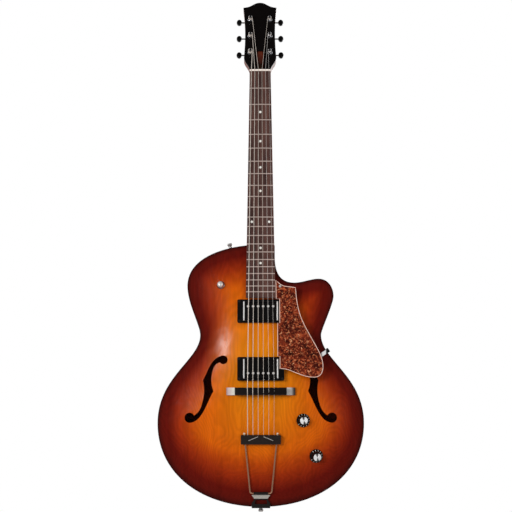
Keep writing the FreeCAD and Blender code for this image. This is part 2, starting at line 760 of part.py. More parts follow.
def linings():
    """Strips inside the sides, along the front and back plates, between the two blocks."""
    depth = SIDE_HALF_DEPTH
    strips = []
    for y0, y1 in ((-depth, LINING_DEPTH - depth), (depth - LINING_DEPTH, depth)):
        ring = wire_solid(plan_wire(SIDE_THICKNESS), y0, y1)
        ring = ring.cut(wire_solid(plan_wire(SIDE_THICKNESS + LINING_WIDTH), y0, y1))
        neck_end = box(-NECK_BLOCK_HALF, NECK_BLOCK_HALF, y0, y1,
                       BODY_LENGTH - SIDE_THICKNESS - NECK_BLOCK_HEIGHT, BODY_LENGTH)
        tail_end = box(-TAIL_BLOCK_HALF, TAIL_BLOCK_HALF, y0, y1, 0, SIDE_THICKNESS + TAIL_BLOCK_HEIGHT)
        strips.append(ring.cut([neck_end, tail_end]))
    screws = [strap_screw(*strap_button_places()[1]), guard_screw()]
    return Part.makeCompound([solid for strip in strips for solid in strip.cut(screws).Solids])


def tone_bars():
    """Two bars glued along the top's inner face, either side of the pickups."""
    front = in_front_of_inner_face()
    apex = -HALF_DEPTH - ARCH_TOP
    bars = []
    for side_x in (-TONE_BAR_X, TONE_BAR_X):
        blank = box(side_x - TONE_BAR_WIDTH / 2, side_x + TONE_BAR_WIDTH / 2, apex,
                    apex + PLATE_THICKNESS + TONE_BAR_DEPTH, TONE_BAR_LOW, TONE_BAR_LOW + TONE_BAR_LENGTH)
        bars.append(blank.cut(front))
    return Part.makeCompound([solid for bar in bars for solid in bar.Solids])


# Neck, in a local frame with the nut's corner of the fingerboard's face at its origin

def shaft_section(t, half, depth):
    """A neck section at a distance from the nut: flat under the fingerboard, round behind."""
    points = []
    steps = 8
    for step in range(steps + 1):
        angle = math.pi * step / steps
        points.append(V(half * math.cos(angle), BOARD_THICKNESS + depth * math.sin(angle), -t))
    curve = Part.BSplineCurve()
    curve.interpolate(Points=points, InitialTangent=V(0, 1, 0), FinalTangent=V(0, -1, 0))
    return Part.Wire([curve.toShape(), Part.LineSegment(points[-1], points[0]).toShape()])


def shaft_end():
    """How far from the nut the shaft's back edge reaches the body."""
    deepest = BOARD_THICKNESS + SHAFT_DEPTH_HEEL
    return (NUT_Z - BODY_LENGTH) / ANGLE_COS - deepest * ANGLE_SIN / ANGLE_COS


def neck_shaft():
    end = shaft_end()
    sections = []
    for t in (-NUT_THICKNESS, end / 2, end):
        depth = SHAFT_DEPTH_NUT + (SHAFT_DEPTH_HEEL - SHAFT_DEPTH_NUT) * max(t, 0) / end
        sections.append(shaft_section(t, board_half(max(t, 0)), depth))
    return placed(Part.makeLoft(sections, True), NECK_PLACE)


def heel_section(y, half, reach):
    """A level cut through the heel: flat on the body, round at the nose."""
    corner_z = BODY_LENGTH + reach * 0.35
    foot_right = V(half, y, BODY_LENGTH)
    foot_left = V(-half, y, BODY_LENGTH)
    right = V(half, y, corner_z)
    left = V(-half, y, corner_z)
    nose = Part.BezierCurve()
    handle = reach * 0.87
    nose.setPoles([right, right + V(0, 0, handle), left + V(0, 0, handle), left])
    return Part.Wire([Part.LineSegment(foot_left, foot_right).toShape(),
                      Part.LineSegment(foot_right, right).toShape(),
                      nose.toShape(),
                      Part.LineSegment(left, foot_left).toShape()])


def heel():
    """The heel, sweeping from under the shaft down to the back's edge."""
    start_y = board_y(BODY_LENGTH + HEEL_REACH_TOP) + BOARD_THICKNESS + 1.0
    end_y = HALF_DEPTH - HEEL_END_INSET
    sections = []
    for share in (0.0, 0.22, 0.45, 0.72, 1.0):
        fall = (1 - share) ** 3
        half = HEEL_HALF_END + (HEEL_HALF_TOP - HEEL_HALF_END) * (1 - share) ** 1.5
        reach = HEEL_REACH_END + (HEEL_REACH_TOP - HEEL_REACH_END) * fall
        sections.append(heel_section(start_y + (end_y - start_y) * share, half, reach))
    return Part.makeLoft(sections, True)


def tongue():
    """The neck's tongue under the fingerboard, resting on the top."""
    start = shaft_end()
    end = BOARD_LENGTH - BOARD_TAIL / 2
    blank = box(-TONGUE_HALF, TONGUE_HALF, BOARD_THICKNESS, BOARD_THICKNESS + SHAFT_DEPTH_HEEL, -end, -start)
    body = ON_TOP.common(wire_solid(plan_wire(-SEAT_GAP), -HALF_DEPTH - 2 * ARCH_TOP, HALF_DEPTH))
    return placed(blank, NECK_PLACE).cut(body)


def head_wire():
    """The headstock's outline in its own frame."""
    def half(side):
        root = (side * HEAD_NUT_HALF, 0)
        low = (side * HEAD_LOW_HALF, HEAD_LOW_Z)
        top = (side * HEAD_TOP_HALF, HEAD_TOP_Z)
        peak = (0, HEAD_PEAK_Z)
        rise = HEAD_PEAK_Z - HEAD_TOP_Z
        waist_pull = (8 * HEAD_WAIST_HALF - HEAD_LOW_HALF - HEAD_TOP_HALF) / 6
        third = (HEAD_TOP_Z - HEAD_LOW_Z) / 3
        return [
            bezier(root, (side * HEAD_NUT_HALF, HEAD_LOW_Z * 0.35),
                   (side * HEAD_LOW_HALF, HEAD_LOW_Z * 0.6), low).toShape(),
            bezier(low, (side * waist_pull, HEAD_LOW_Z + third),
                   (side * waist_pull, HEAD_TOP_Z - third), top).toShape(),
            bezier(top, (side * HEAD_TOP_HALF * 0.45, HEAD_TOP_Z + rise * 0.1),
                   (side * HEAD_TOP_HALF * 0.4, HEAD_PEAK_Z), peak).toShape(),
        ]
    foot = Part.LineSegment(V(-HEAD_NUT_HALF, 0, 0), V(HEAD_NUT_HALF, 0, 0)).toShape()
    right = half(1)
    left = half(-1)
    return Part.Wire(Part.__sortEdges__(right + left + [foot]))


def scoop():
    """The cutter for the truss rod's access slot, along the neck."""
    start = NUT_THICKNESS + 1.0
    groove = Part.makeCylinder(SCOOP_RADIUS, SCOOP_LENGTH, V(0, TRUSS_DEPTH, start), Z_AXIS)
    mouth = box(-SCOOP_RADIUS, SCOOP_RADIUS, -HEAD_THICKNESS, TRUSS_DEPTH, start, start + SCOOP_LENGTH)
    return placed(union([groove, mouth]), NECK_PLACE)


def truss_channel():
    """The cutter for the truss rod's channel, open under the fingerboard."""
    width = TRUSS_RADIUS
    bottom = Part.makeCylinder(width, TRUSS_LENGTH + SCOOP_RADIUS, V(0, TRUSS_DEPTH, -TRUSS_LENGTH), Z_AXIS)
    mouth = box(-width, width, BOARD_THICKNESS, TRUSS_DEPTH, -TRUSS_LENGTH, 0)
    return placed(union([bottom, mouth]), NECK_PLACE)


def head_core():
    """The headstock's wood, with a root that runs into the shaft."""
    core = wire_solid(head_wire(), OVERLAY_THICKNESS, HEAD_THICKNESS)
    root = box(-HEAD_NUT_HALF, HEAD_NUT_HALF, OVERLAY_THICKNESS, HEAD_THICKNESS, -HEAD_ROOT, 0)
    board_room = box(-NUT_WIDTH, NUT_WIDTH, -BOARD_RADIUS, BOARD_THICKNESS, -BOARD_LENGTH, NUT_THICKNESS)
    return placed(core.fuse(root), HEAD_PLACE).cut(placed(board_room, NECK_PLACE))


def neck():
    wood = union([neck_shaft(), heel(), tongue(), head_core()])
    cutters = [scoop(), truss_channel()]
    for place, bass in tuner_places():
        cutters.append(placed(bushing_hole(), place))
    return wood.cut(cutters + small_screws())


def headstock_overlay():
    face = placed(wire_solid(head_wire(), 0, OVERLAY_THICKNESS), HEAD_PLACE)
    nut_room = box(-NUT_WIDTH, NUT_WIDTH, -NUT_WIDTH, NUT_WIDTH, -NUT_WIDTH, NUT_THICKNESS)
    cutters = [scoop(), placed(nut_room, NECK_PLACE)]
    for place, bass in tuner_places():
        cutters.append(placed(bushing_hole(), place))
    return face.cut(cutters)


def fret_t(number):
    return SCALE * (1 - 2 ** (-number / 12))


def board_blank():
    """The fingerboard before its slots: tapered sides and a cylindrical face."""
    end = BOARD_LENGTH
    corners = [(-board_half(0), 0), (board_half(0), 0), (board_half(end), -end), (-board_half(end), -end)]
    blank = flat_solid(corners, -BOARD_THICKNESS, BOARD_THICKNESS)
    round_face = Part.makeCylinder(BOARD_RADIUS, end, V(0, BOARD_RADIUS, -end), Z_AXIS)
    return blank.common(round_face)


def around_board(profile, half):
    """A ring piece round the fingerboard's axis, from (height, t) points, over a half width."""
    angle = math.degrees(math.asin(half / BOARD_RADIUS))
    points = [V(0, -height, -t) for height, t in profile]
    face = Part.Face(Part.makePolygon(points + [points[0]]))
    axis_point = V(0, BOARD_RADIUS, 0)
    face.rotate(axis_point, Z_AXIS, -angle)
    return face.revolve(axis_point, Z_AXIS, 2 * angle)


def fret(number):
    """One fret: a rounded crown on a tang."""
    t = fret_t(number)
    crown = []
    steps = 6
    for step in range(steps + 1):
        angle = math.pi * step / steps
        crown.append((FRET_HEIGHT * math.sin(angle), t - FRET_WIDTH / 2 * math.cos(angle)))
    tang = [(0, t + TANG_WIDTH / 2), (-TANG_DEPTH, t + TANG_WIDTH / 2), (-TANG_DEPTH, t - TANG_WIDTH / 2),
            (0, t - TANG_WIDTH / 2)]
    return around_board(crown + tang, board_half(t) - FRET_INSET)


def fret_slot(number):
    t = fret_t(number)
    profile = [(TANG_DEPTH, t + TANG_WIDTH / 2), (-TANG_DEPTH, t + TANG_WIDTH / 2),
               (-TANG_DEPTH, t - TANG_WIDTH / 2), (TANG_DEPTH, t - TANG_WIDTH / 2)]
    return around_board(profile, board_half(t) - FRET_INSET)


def dot_cutters():
    places = [(0, number) for number in DOT_FRETS]
    places += [(-DOUBLE_DOT_X, DOUBLE_DOT_FRET), (DOUBLE_DOT_X, DOUBLE_DOT_FRET)]
    cutters = []
    for x, number in places:
        t = (fret_t(number) + fret_t(number - 1)) / 2
        drop = BOARD_RADIUS - math.sqrt(BOARD_RADIUS ** 2 - x ** 2)
        cutters.append(Part.makeCylinder(DOT_RADIUS, 2 * DOT_DEPTH, V(x, drop - DOT_DEPTH, -t), Y_AXIS))
    return cutters


def fingerboard():
    slots = [fret_slot(number) for number in range(1, FRET_COUNT + 1)]
    return placed(board_blank().cut(slots + dot_cutters()), NECK_PLACE)


def position_dots():
    blank = board_blank()
    return Part.makeCompound([placed(blank.common(dot), NECK_PLACE) for dot in dot_cutters()])


def frets():
    return Part.makeCompound([placed(fret(number), NECK_PLACE) for number in range(1, FRET_COUNT + 1)])


def nut():
    """The nut, standing on the neck at the end of the fingerboard, slotted for the strings."""
    half = board_half(0)
    blank = box(-half, half, -BOARD_THICKNESS, BOARD_THICKNESS, 0, NUT_THICKNESS)
    crown_radius = BOARD_RADIUS + NUT_HEIGHT
    round_top = Part.makeCylinder(crown_radius, NUT_THICKNESS, V(0, BOARD_RADIUS, 0), Z_AXIS)
    solid = placed(blank.common(round_top), NECK_PLACE)
    for number, diameter in enumerate(STRING_DIAMETERS):
        corners = string_corners(number)
        centre = NECK_PLACE.inverse().multVec(corners[2])
        width = diameter / 2 + STRING_CLEARANCE
        mouth = placed(box(centre.x - width, centre.x + width, -BOARD_THICKNESS, centre.y, -NUT_THICKNESS,
                           2 * NUT_THICKNESS), NECK_PLACE)
        solid = solid.cut(mouth).cut(bent_tube(corners[1:], width))
    return solid


def truss_rod():
    start = V(0, TRUSS_DEPTH, -TRUSS_LENGTH)
    rod = Part.makeCylinder(TRUSS_RADIUS, TRUSS_LENGTH + NUT_THICKNESS + 2, start, Z_AXIS)
    return placed(rod, NECK_PLACE)


def truss_rod_nut():
    """A round nut on the rod's end, with a hexagonal socket for the wrench."""
    start = NUT_THICKNESS + 2
    body = Part.makeCylinder(TRUSS_NUT_RADIUS, TRUSS_NUT_LENGTH, V(0, TRUSS_DEPTH, start), Z_AXIS)
    socket_radius = TRUSS_RADIUS * 0.8
    corners = []
    for k in range(7):
        angle = math.radians(60 * k)
        corners.append(V(socket_radius * math.cos(angle), TRUSS_DEPTH + socket_radius * math.sin(angle),
                         start + TRUSS_NUT_LENGTH))
    socket = Part.Face(Part.makePolygon(corners)).extrude(V(0, 0, -TRUSS_NUT_LENGTH * 0.6))
    return placed(body.cut(socket), NECK_PLACE)


# Tuners, drawn in a frame on the headstock's face at the post, with the worm below and the button on +X

def tuner_places():
    """Placement of each tuner, strings one to six from the bass, and whether it is on the bass side."""
    places = []
    for number in range(6):
        row = number if number < 3 else 5 - number
        bass = number < 3
        x = -POST_X if bass else POST_X
        local = FreeCAD.Placement(V(x, 0, POST_FIRST_Z + POST_SPACING * row), FreeCAD.Rotation())
        places.append((HEAD_PLACE.multiply(local), bass))
    return places


def tuner_part(shape, number):
    """A tuner piece turned over, so that its worm lies above the post, and moved to its place."""
    place, bass = tuner_places()[number]
    local = shape.copy() if bass else shape.mirror(V(0, 0, 0), X_AXIS)
    local.rotate(V(0, 0, 0), Y_AXIS, 180)
    return placed(local, place)


GEAR_PITCH_RADIUS = GEAR_TEETH * GEAR_MODULE / 2
GEAR_TIP_RADIUS = GEAR_PITCH_RADIUS + 0.8 * GEAR_MODULE
GEAR_ROOT_RADIUS = GEAR_PITCH_RADIUS - 1.3 * GEAR_MODULE
WORM_Z = -GEAR_PITCH_RADIUS - WORM_RADIUS
WORM_PITCH = math.pi * GEAR_MODULE
GEAR_Y = HEAD_THICKNESS + (HOUSING_DEPTH - HOUSING_WALL) / 2


def housing_tab_z():
    return GEAR_TIP_RADIUS + HOUSING_ROOM + HOUSING_WALL + HOUSING_TAB / 2


def bushing_hole():
    sleeve = Part.makeCylinder(BUSHING_RADIUS, BUSHING_LENGTH + 1, V(0, -1, 0), Y_AXIS)
    through = Part.makeCylinder(POST_RADIUS + 4 * POST_FIT, HEAD_THICKNESS + 2, V(0, -1, 0), Y_AXIS)
    return union([sleeve, through])


def tuner_bushing():
    inner = POST_RADIUS + POST_FIT
    profile = [(inner, BUSHING_RISE), (inner, -BUSHING_LENGTH), (BUSHING_RADIUS, -BUSHING_LENGTH),
               (BUSHING_RADIUS, 0), (BUSHING_FLANGE, 0), (BUSHING_FLANGE, BUSHING_RISE * 0.5),
               (BUSHING_FLANGE * 0.85, BUSHING_RISE)]
    return turned(profile, V(0, 0, 0), -Y_AXIS)


def gear():
    """Straight gear teeth, with a gap towards the worm."""
    points = []
    tooth = 2 * math.pi / GEAR_TEETH
    root_half = tooth * 0.30
    tip_half = tooth * 0.13
    for number in range(GEAR_TEETH):
        middle = -math.pi / 2 + tooth * (number + 0.5)
        for radius, offset in ((GEAR_ROOT_RADIUS, -root_half), (GEAR_TIP_RADIUS, -tip_half),
                               (GEAR_TIP_RADIUS, tip_half), (GEAR_ROOT_RADIUS, root_half)):
            points.append((radius * math.cos(middle + offset), radius * math.sin(middle + offset)))
    return flat_solid(points, GEAR_Y - GEAR_FACE / 2, GEAR_Y + GEAR_FACE / 2)


def tuner_post():
    """The post with its string hole, rounded top and gear."""
    end = HEAD_THICKNESS + HOUSING_DEPTH - HOUSING_WALL - TOOTH_CLEARANCE
    rim = POST_RADIUS * 0.25
    profile = [(0, POST_HEIGHT), (POST_RADIUS - rim, POST_HEIGHT), (POST_RADIUS, POST_HEIGHT - rim),
               (POST_RADIUS, -end), (0, -end)]
    post = turned(profile, V(0, 0, 0), -Y_AXIS)
    start = V(0, WINDING_CLEARANCE - WINDING_TOP, -2 * POST_RADIUS)
    hole = Part.makeCylinder(POST_RADIUS * 0.3, 4 * POST_RADIUS, start, Z_AXIS)
    return union([post, gear()]).cut(hole)


def worm_thread():
    """One helical ridge round the worm shaft."""
    length = WORM_PITCH * WORM_TURNS
    root = WORM_SHAFT_RADIUS - 0.1
    tip = WORM_RADIUS + 0.9 * GEAR_MODULE
    root_half = WORM_PITCH * 0.26
    tip_half = WORM_PITCH * 0.10
    helix = Part.makeHelix(WORM_PITCH, length, WORM_SHAFT_RADIUS)
    corners = [V(root, 0, -root_half), V(tip, 0, -tip_half), V(tip, 0, tip_half), V(root, 0, root_half)]
    profile = Part.makePolygon(corners + [corners[0]])
    thread = Part.Wire(helix.Edges).makePipeShell([profile], True, True)
    thread.translate(V(0, 0, -length / 2))
    return thread


def tuner_button():
    """The worm shaft, and the button on its outer end."""
    shaft_end = BUTTON_X + BUTTON_WIDTH / 2
    inner_end = -WORM_PITCH * (WORM_TURNS / 2 + 0.5)
    shaft = Part.makeCylinder(WORM_SHAFT_RADIUS, shaft_end - inner_end, V(0, 0, inner_end), Z_AXIS)
    worm = union([shaft, worm_thread()])
    worm.rotate(V(0, 0, 0), Y_AXIS, 90)
    worm.rotate(V(0, 0, 0), X_AXIS, 180)
    worm.translate(V(0, GEAR_Y, WORM_Z))
    ellipse = Part.Ellipse(V(0, 0, 0), BUTTON_HEIGHT / 2, BUTTON_WIDTH / 2).toShape()
    blank = Part.Face(Part.Wire(ellipse)).extrude(V(0, 0, BUTTON_THICKNESS))
    blank.translate(V(0, 0, -BUTTON_THICKNESS / 2))
    rims = [edge for edge in blank.Edges if edge.Length > BUTTON_WIDTH * 2]
    button = blank.makeFillet(BUTTON_ROUND, rims)
    button.rotate(V(0, 0, 0), Z_AXIS, 90)
    button.rotate(V(0, 0, 0), X_AXIS, 90)
    button.translate(V(BUTTON_X, GEAR_Y, WORM_Z))
    return worm, button.cut(worm)


def tuner_housing():
    """A closed gear case behind the headstock, with a screw tab."""
    reach = GEAR_TIP_RADIUS + HOUSING_ROOM
    worm_reach = -WORM_Z + WORM_RADIUS + GEAR_MODULE + HOUSING_ROOM
    half = WORM_PITCH * (WORM_TURNS / 2 + 0.5) + HOUSING_ROOM
    y0 = HEAD_THICKNESS
    y1 = HEAD_THICKNESS + HOUSING_DEPTH
    wall = HOUSING_WALL
    case = box(-half - wall, half + wall, y0, y1, -worm_reach - wall, reach + wall)
    rims = [edge for edge in case.Edges if all(vertex.Point.y > y0 + wall for vertex in edge.Vertexes)]
    case = case.makeFillet(wall * 1.2, rims)
    tab = box(-HOUSING_TAB / 2, HOUSING_TAB / 2, y0, y0 + wall, reach, reach + wall + HOUSING_TAB)
    room = box(-half, half, y0 - 1, y1 - wall, -worm_reach, reach)
    exit_hole = Part.makeCylinder(WORM_SHAFT_RADIUS + POST_FIT, half, V(half - wall, GEAR_Y, WORM_Z), X_AXIS)
    return union([case, tab]).cut([room, exit_hole])


def tuner_housings():
    screws = small_screws()
    return Part.makeCompound([tuner_part(tuner_housing(), number).cut(screws) for number in range(6)])


def tuner_bushings():
    return Part.makeCompound([tuner_part(tuner_bushing(), number) for number in range(6)])


# Strings

def corner_arc(before, corner, after, radius):
    """The arc that rounds a corner, with its two tangent points."""
    back = (before - corner).normalize()
    ahead = (after - corner).normalize()
    turn = math.pi - back.getAngle(ahead)
    reach = radius * math.tan(turn / 2)
    middle = (back + ahead).normalize()
    start = corner + back * reach
    end = corner + ahead * reach
    peak = corner + middle * (radius / math.cos(turn / 2) - radius)
    return start, Part.Arc(start, peak, end).toShape(), end


def bent_path(corners, radius):
    """Straight runs through the corners, each corner rounded."""
    edges = []
    start = corners[0]
    for before, corner, after in zip(corners, corners[1:], corners[2:]):
        arc_start, arc, arc_end = corner_arc(before, corner, after, radius)
        edges.append(Part.LineSegment(start, arc_start).toShape())
        edges.append(arc)
        start = arc_end
    edges.append(Part.LineSegment(start, corners[-1]).toShape())
    return edges


def tube(edges, radius):
    """A round tube swept along joined edges."""
    start = edges[0].valueAt(edges[0].FirstParameter)
    way = edges[0].tangentAt(edges[0].FirstParameter)
    section = Part.Wire(Part.Circle(start, way, radius).toShape())
    return Part.Wire(edges).makePipeShell([section], True, False)


def bent_tube(corners, radius):
    return tube(bent_path(corners, STRING_BEND), radius)


def tangent_arc(start, way, end):
    """An arc from a point along a way to another point."""
    chord = end - start
    along = V(chord).normalize()
    lift = way - along * way.dot(along)
    half_turn = way.getAngle(chord)
    peak = (start + end) * 0.5 + V(lift).normalize() * (chord.Length / 2 * math.tan(half_turn / 2))
    return Part.Arc(start, peak, end).toShape()


def biarc(start, start_way, end, end_way):
    """Two arcs that join two points along their ways."""
    gap = end - start
    ways = start_way + end_way
    a = 2 * (1 - start_way.dot(end_way))
    b = 2 * gap.dot(ways)
    c = -gap.dot(gap)
    reach = (-b + math.sqrt(b * b - 4 * a * c)) / (2 * a)
    joint = (start + start_way * reach + end - end_way * reach) * 0.5
    back = tangent_arc(end, end_way * -1, joint)
    return [tangent_arc(start, start_way, joint),
            Part.Arc(joint, back.valueAt((back.FirstParameter + back.LastParameter) / 2), end).toShape()]


def string_rise(diameter, rise):
    return rise + diameter / 2


def string_drop(x):
    return BOARD_RADIUS - math.sqrt(BOARD_RADIUS ** 2 - x ** 2)


def string_corners(number):
    """A string's corners: in the tailpiece, on the saddle, on the nut, and on its post."""
    diameter = STRING_DIAMETERS[number]
    step = number - (len(STRING_DIAMETERS) - 1) / 2
    x_tail = step * TAIL_STRING_SPACING
    x_bridge = step * BRIDGE_STRING_SPACING
    x_nut = step * NUT_STRING_SPACING
    hole = WIRE_LENGTH - BAR_TOP_GAP - STRING_HOLE_DEPTH * 0.8
    tail = BAR_PLACE.multVec(V(x_tail, 0, hole))
    saddle_y = board_y(BRIDGE_Z) - string_rise(diameter, STRING_RISE_BRIDGE) + string_drop(x_bridge)
    saddle_point = V(x_bridge, saddle_y, BRIDGE_Z)
    nut_y = -string_rise(diameter, STRING_RISE_NUT) + string_drop(x_nut)
    nut_point = NECK_PLACE.multVec(V(x_nut, nut_y, NUT_THICKNESS * 0.35))
    centre, inner, up, front, radius = winding_frame(number)
    offset = nut_point - centre
    a = offset.dot(inner)
    b = offset.dot(up)
    angle = math.atan2(b, a) + math.acos(radius / math.hypot(a, b))
    post_point = winding_point(number, angle, angle)
    return [tail, saddle_point, nut_point, post_point]


def winding_frame(number):
    """A post's middle at the face, the ways in, up and out there, and the winding's radius."""
    place, bass = tuner_places()[number]
    inner = X_AXIS * (1 if bass else -1)
    up = place.Rotation.multVec(Z_AXIS)
    front = place.Rotation.multVec(-Y_AXIS)
    radius = POST_RADIUS + WINDING_CLEARANCE + STRING_DIAMETERS[number] / 2
    return place.Base, inner, up, front, radius


def winding_point(number, angle, start_angle):
    centre, inner, up, front, radius = winding_frame(number)
    pitch = STRING_DIAMETERS[number] + WINDING_GAP
    height = WINDING_TOP - pitch * (angle - start_angle) / (2 * math.pi)
    return centre + inner * (radius * math.cos(angle)) + up * (radius * math.sin(angle)) + front * height


def winding_way(number, angle):
    centre, inner, up, front, radius = winding_frame(number)
    pitch = STRING_DIAMETERS[number] + WINDING_GAP
    way = inner * (-radius * math.sin(angle)) + up * (radius * math.cos(angle))
    way -= front * (pitch / (2 * math.pi))
    return way.normalize()


def string(number):
    """One unbroken string: tailpiece, saddle, nut, and its turns round the post."""
    diameter = STRING_DIAMETERS[number]
    corners = string_corners(number)
    edges = bent_path(corners, STRING_BEND)
    centre, inner, up, front, radius = winding_frame(number)
    offset = corners[3] - centre
    start_angle = math.atan2(offset.dot(up), offset.dot(inner))
    point = corners[3]
    way = (corners[3] - corners[2]).normalize()
    quarter = math.pi / 2
    turns = []
    for step in range(1, 4 * WINDING_TURNS + 1):
        angle = start_angle + step * quarter
        next_point = winding_point(number, angle, start_angle)
        next_way = winding_way(number, angle)
        turns += biarc(point, way, next_point, next_way)
        point = next_point
        way = next_way
    tail = Part.LineSegment(point, point + way * diameter).toShape()
    print("string", number + 1, "least gap between turns", round(winding_gap(turns, diameter), 3))
    return tube(edges + turns + [tail], diameter / 2)


def winding_gap(turns, diameter):
    """Least distance between neighbouring turns, measured on points along them."""
    points = []
    for edge in turns:
        span = edge.LastParameter - edge.FirstParameter
        points += [edge.valueAt(edge.FirstParameter + span * step / 6) for step in range(6)]
    per_turn = len(points) // WINDING_TURNS
    least = min((points[first] - points[second]).Length
                for first in range(len(points))
                for second in range(first + per_turn // 2, len(points)))
    return least - diameter


# Pickups

def ring_place(centre_z, lip):
    """A ring's frame: the middle of its front face, parallel to the strings."""
    seat, normal = top_seat(0, centre_z)
    return FreeCAD.Placement(V(0, seat.y - lip, centre_z), FreeCAD.Rotation(X_AXIS, -NECK_ANGLE))


def pickup_ring(centre_z, lip):
    """A mounting ring whose foot follows the top's arch."""
    place = ring_place(centre_z, lip)
    ring = rounded_block(RING_WIDTH, RING_HEIGHT, RING_CORNER, 0, lip + ARCH_TOP)
    half_width = COVER_WIDTH / 2 + SIDE_BAR_WIDTH + PICKUP_CLEARANCE
    half_height = COVER_HEIGHT / 2 + PICKUP_CLEARANCE
    window = box(-half_width, half_width, -1, lip + 2 * ARCH_TOP, -half_height, half_height)
    return placed(ring.cut(window), place).cut([ON_TOP] + small_screws())


def front_rims(block):
    """The edges round a pickup block's front face."""
    return [edge for edge in block.Edges if abs(edge.BoundBox.YMax + COVER_RISE) < 1e-3]


def pickup_cover(centre_z, lip, pole_side):
    """A black cover, open behind, with a row of holes for the pole screws."""
    place = ring_place(centre_z, lip)
    half = COVER_WIDTH / 2
    shell = box(-half, half, -COVER_RISE, COVER_DEPTH - COVER_RISE, -COVER_HEIGHT / 2, COVER_HEIGHT / 2)
    shell = shell.makeFillet(COVER_ROUND, front_rims(shell))
    inner_half = half - COVER_WALL
    inner_height = COVER_HEIGHT / 2 - COVER_WALL
    hollow = box(-inner_half, inner_half, COVER_WALL - COVER_RISE, COVER_DEPTH, -inner_height, inner_height)
    cutters = [hollow]
    for x in pole_row():
        start = V(x, -COVER_RISE - 1, pole_side * POLE_OFFSET)
        cutters.append(Part.makeCylinder(POLE_RADIUS, COVER_DEPTH, start, Y_AXIS))
    return placed(shell.cut(cutters), place)


def pole_row():
    return [(k - 2.5) * POLE_SPACING for k in range(6)]


PICKUPS = ((NECK_PICKUP_Z, RING_LIP, 1), (BRIDGE_PICKUP_Z, BRIDGE_RING_LIP, -1))


def pickup_side_bars():
    """Bright bars at both ends of each cover."""
    bars = []
    for centre_z, lip, pole_side in PICKUPS:
        place = ring_place(centre_z, lip)
        for end in (-1, 1):
            middle = end * (COVER_WIDTH + SIDE_BAR_WIDTH) / 2
            bar = box(middle - SIDE_BAR_WIDTH / 2, middle + SIDE_BAR_WIDTH / 2, -COVER_RISE,
                      COVER_DEPTH - COVER_RISE, -COVER_HEIGHT / 2, COVER_HEIGHT / 2)
            bars.append(placed(bar.makeFillet(COVER_ROUND, front_rims(bar)), place))
    return Part.makeCompound(bars)


def pickup_pole_screws():
    """Slotted pole screws, their heads standing on the covers."""
    screws = []
    for centre_z, lip, pole_side in PICKUPS:
        place = ring_place(centre_z, lip)
        for x in pole_row():
            profile = [(0, POLE_HEAD_HEIGHT), (POLE_HEAD_RADIUS * 0.8, POLE_HEAD_HEIGHT),
                       (POLE_HEAD_RADIUS, POLE_HEAD_HEIGHT / 2), (POLE_HEAD_RADIUS, 0), (POLE_RADIUS, 0),
                       (POLE_RADIUS, -POLE_LENGTH), (0, -POLE_LENGTH)]
            screw = turned(profile, V(x, -COVER_RISE, pole_side * POLE_OFFSET), -Y_AXIS)
            screws.append(placed(screw, place))
    return Part.makeCompound(screws)


def pickup_coils():
    """Two wound coils in each cover, each round its own row of poles."""
    coils = []
    width = COVER_WIDTH - 2 * COVER_WALL - 2 * PICKUP_CLEARANCE
    y0 = COVER_WALL - COVER_RISE
    for centre_z, lip, pole_side in PICKUPS:
        place = ring_place(centre_z, lip)
        for row in (-1, 1):
            coil = rounded_block(width, COIL_HEIGHT, COIL_HEIGHT * 0.45, y0, y0 + COIL_DEPTH)
            slot_width = 5 * POLE_SPACING + 2 * POLE_RADIUS + 2 * PICKUP_CLEARANCE
            slot_half = POLE_RADIUS + PICKUP_CLEARANCE
            slot = box(-slot_width / 2, slot_width / 2, y0 - 1, y0 + COIL_DEPTH + 1, -slot_half, slot_half)
            coil = coil.cut(slot)
            coil.translate(V(0, 0, row * POLE_OFFSET))
            coils.append(placed(coil, place))
    return Part.makeCompound(coils)


# Bridge

def base_front():
    """The front of the bridge base's flat."""
    seat, normal = top_seat(0, BRIDGE_Z)
    return seat.y - BASE_FRONT


def bridge_base():
    """A foot that follows the arch, flat under the thumbwheels and ramped at both ends."""
    front = base_front()
    back = -HALF_DEPTH
    points = [V(-BASE_HALF, front + BASE_RAMP_DROP, 0), V(-BASE_FLAT_HALF, front, 0),
              V(BASE_FLAT_HALF, front, 0), V(BASE_HALF, front + BASE_RAMP_DROP, 0),
              V(BASE_HALF, back, 0), V(-BASE_HALF, back, 0)]
    blank = Part.Face(Part.makePolygon(points + [points[0]])).extrude(V(0, 0, BASE_HEIGHT))
    blank.translate(V(0, 0, BRIDGE_Z - BASE_HEIGHT / 2))
    studs = [Part.makeCylinder(STUD_RADIUS, RIM_DEPTH, V(x, front - RIM_DEPTH / 2, BRIDGE_Z), Y_AXIS)
             for x in (-STUD_X, STUD_X)]
    return blank.cut([ON_TOP]).cut(studs)


def wheel_front():
    return base_front() - SADDLE_LOWERING - WHEEL_GAP - WHEEL_THICKNESS


def saddle_back():
    return wheel_front() - WHEEL_GAP


def bridge_posts():
    """Threaded studs, seated in the base."""
    end = saddle_back() - SADDLE_STUD_HOLE + SADDLE_LOWERING + WHEEL_GAP
    seat, normal = top_seat(STUD_X, BRIDGE_Z)
    start = seat.y - SEAT_GAP - 0.8
    studs = [Part.makeCylinder(STUD_RADIUS, start - end, V(x, start, BRIDGE_Z), -Y_AXIS)
             for x in (-STUD_X, STUD_X)]
    return Part.makeCompound(studs)


def thumbwheel(x):
    """A knurled wheel on a stud."""
    notches = 24
    points = []
    for k in range(2 * notches):
        radius = WHEEL_RADIUS - (0.5 if k % 2 else 0.0)
        angle = math.pi * k / notches
        points.append((x + radius * math.cos(angle), BRIDGE_Z + radius * math.sin(angle)))
    wheel = flat_solid(points, wheel_front(), wheel_front() + WHEEL_THICKNESS)
    return wheel.cut(Part.makeCylinder(STUD_RADIUS + STUD_FIT, RIM_DEPTH, V(x, -RIM_DEPTH, BRIDGE_Z), Y_AXIS))


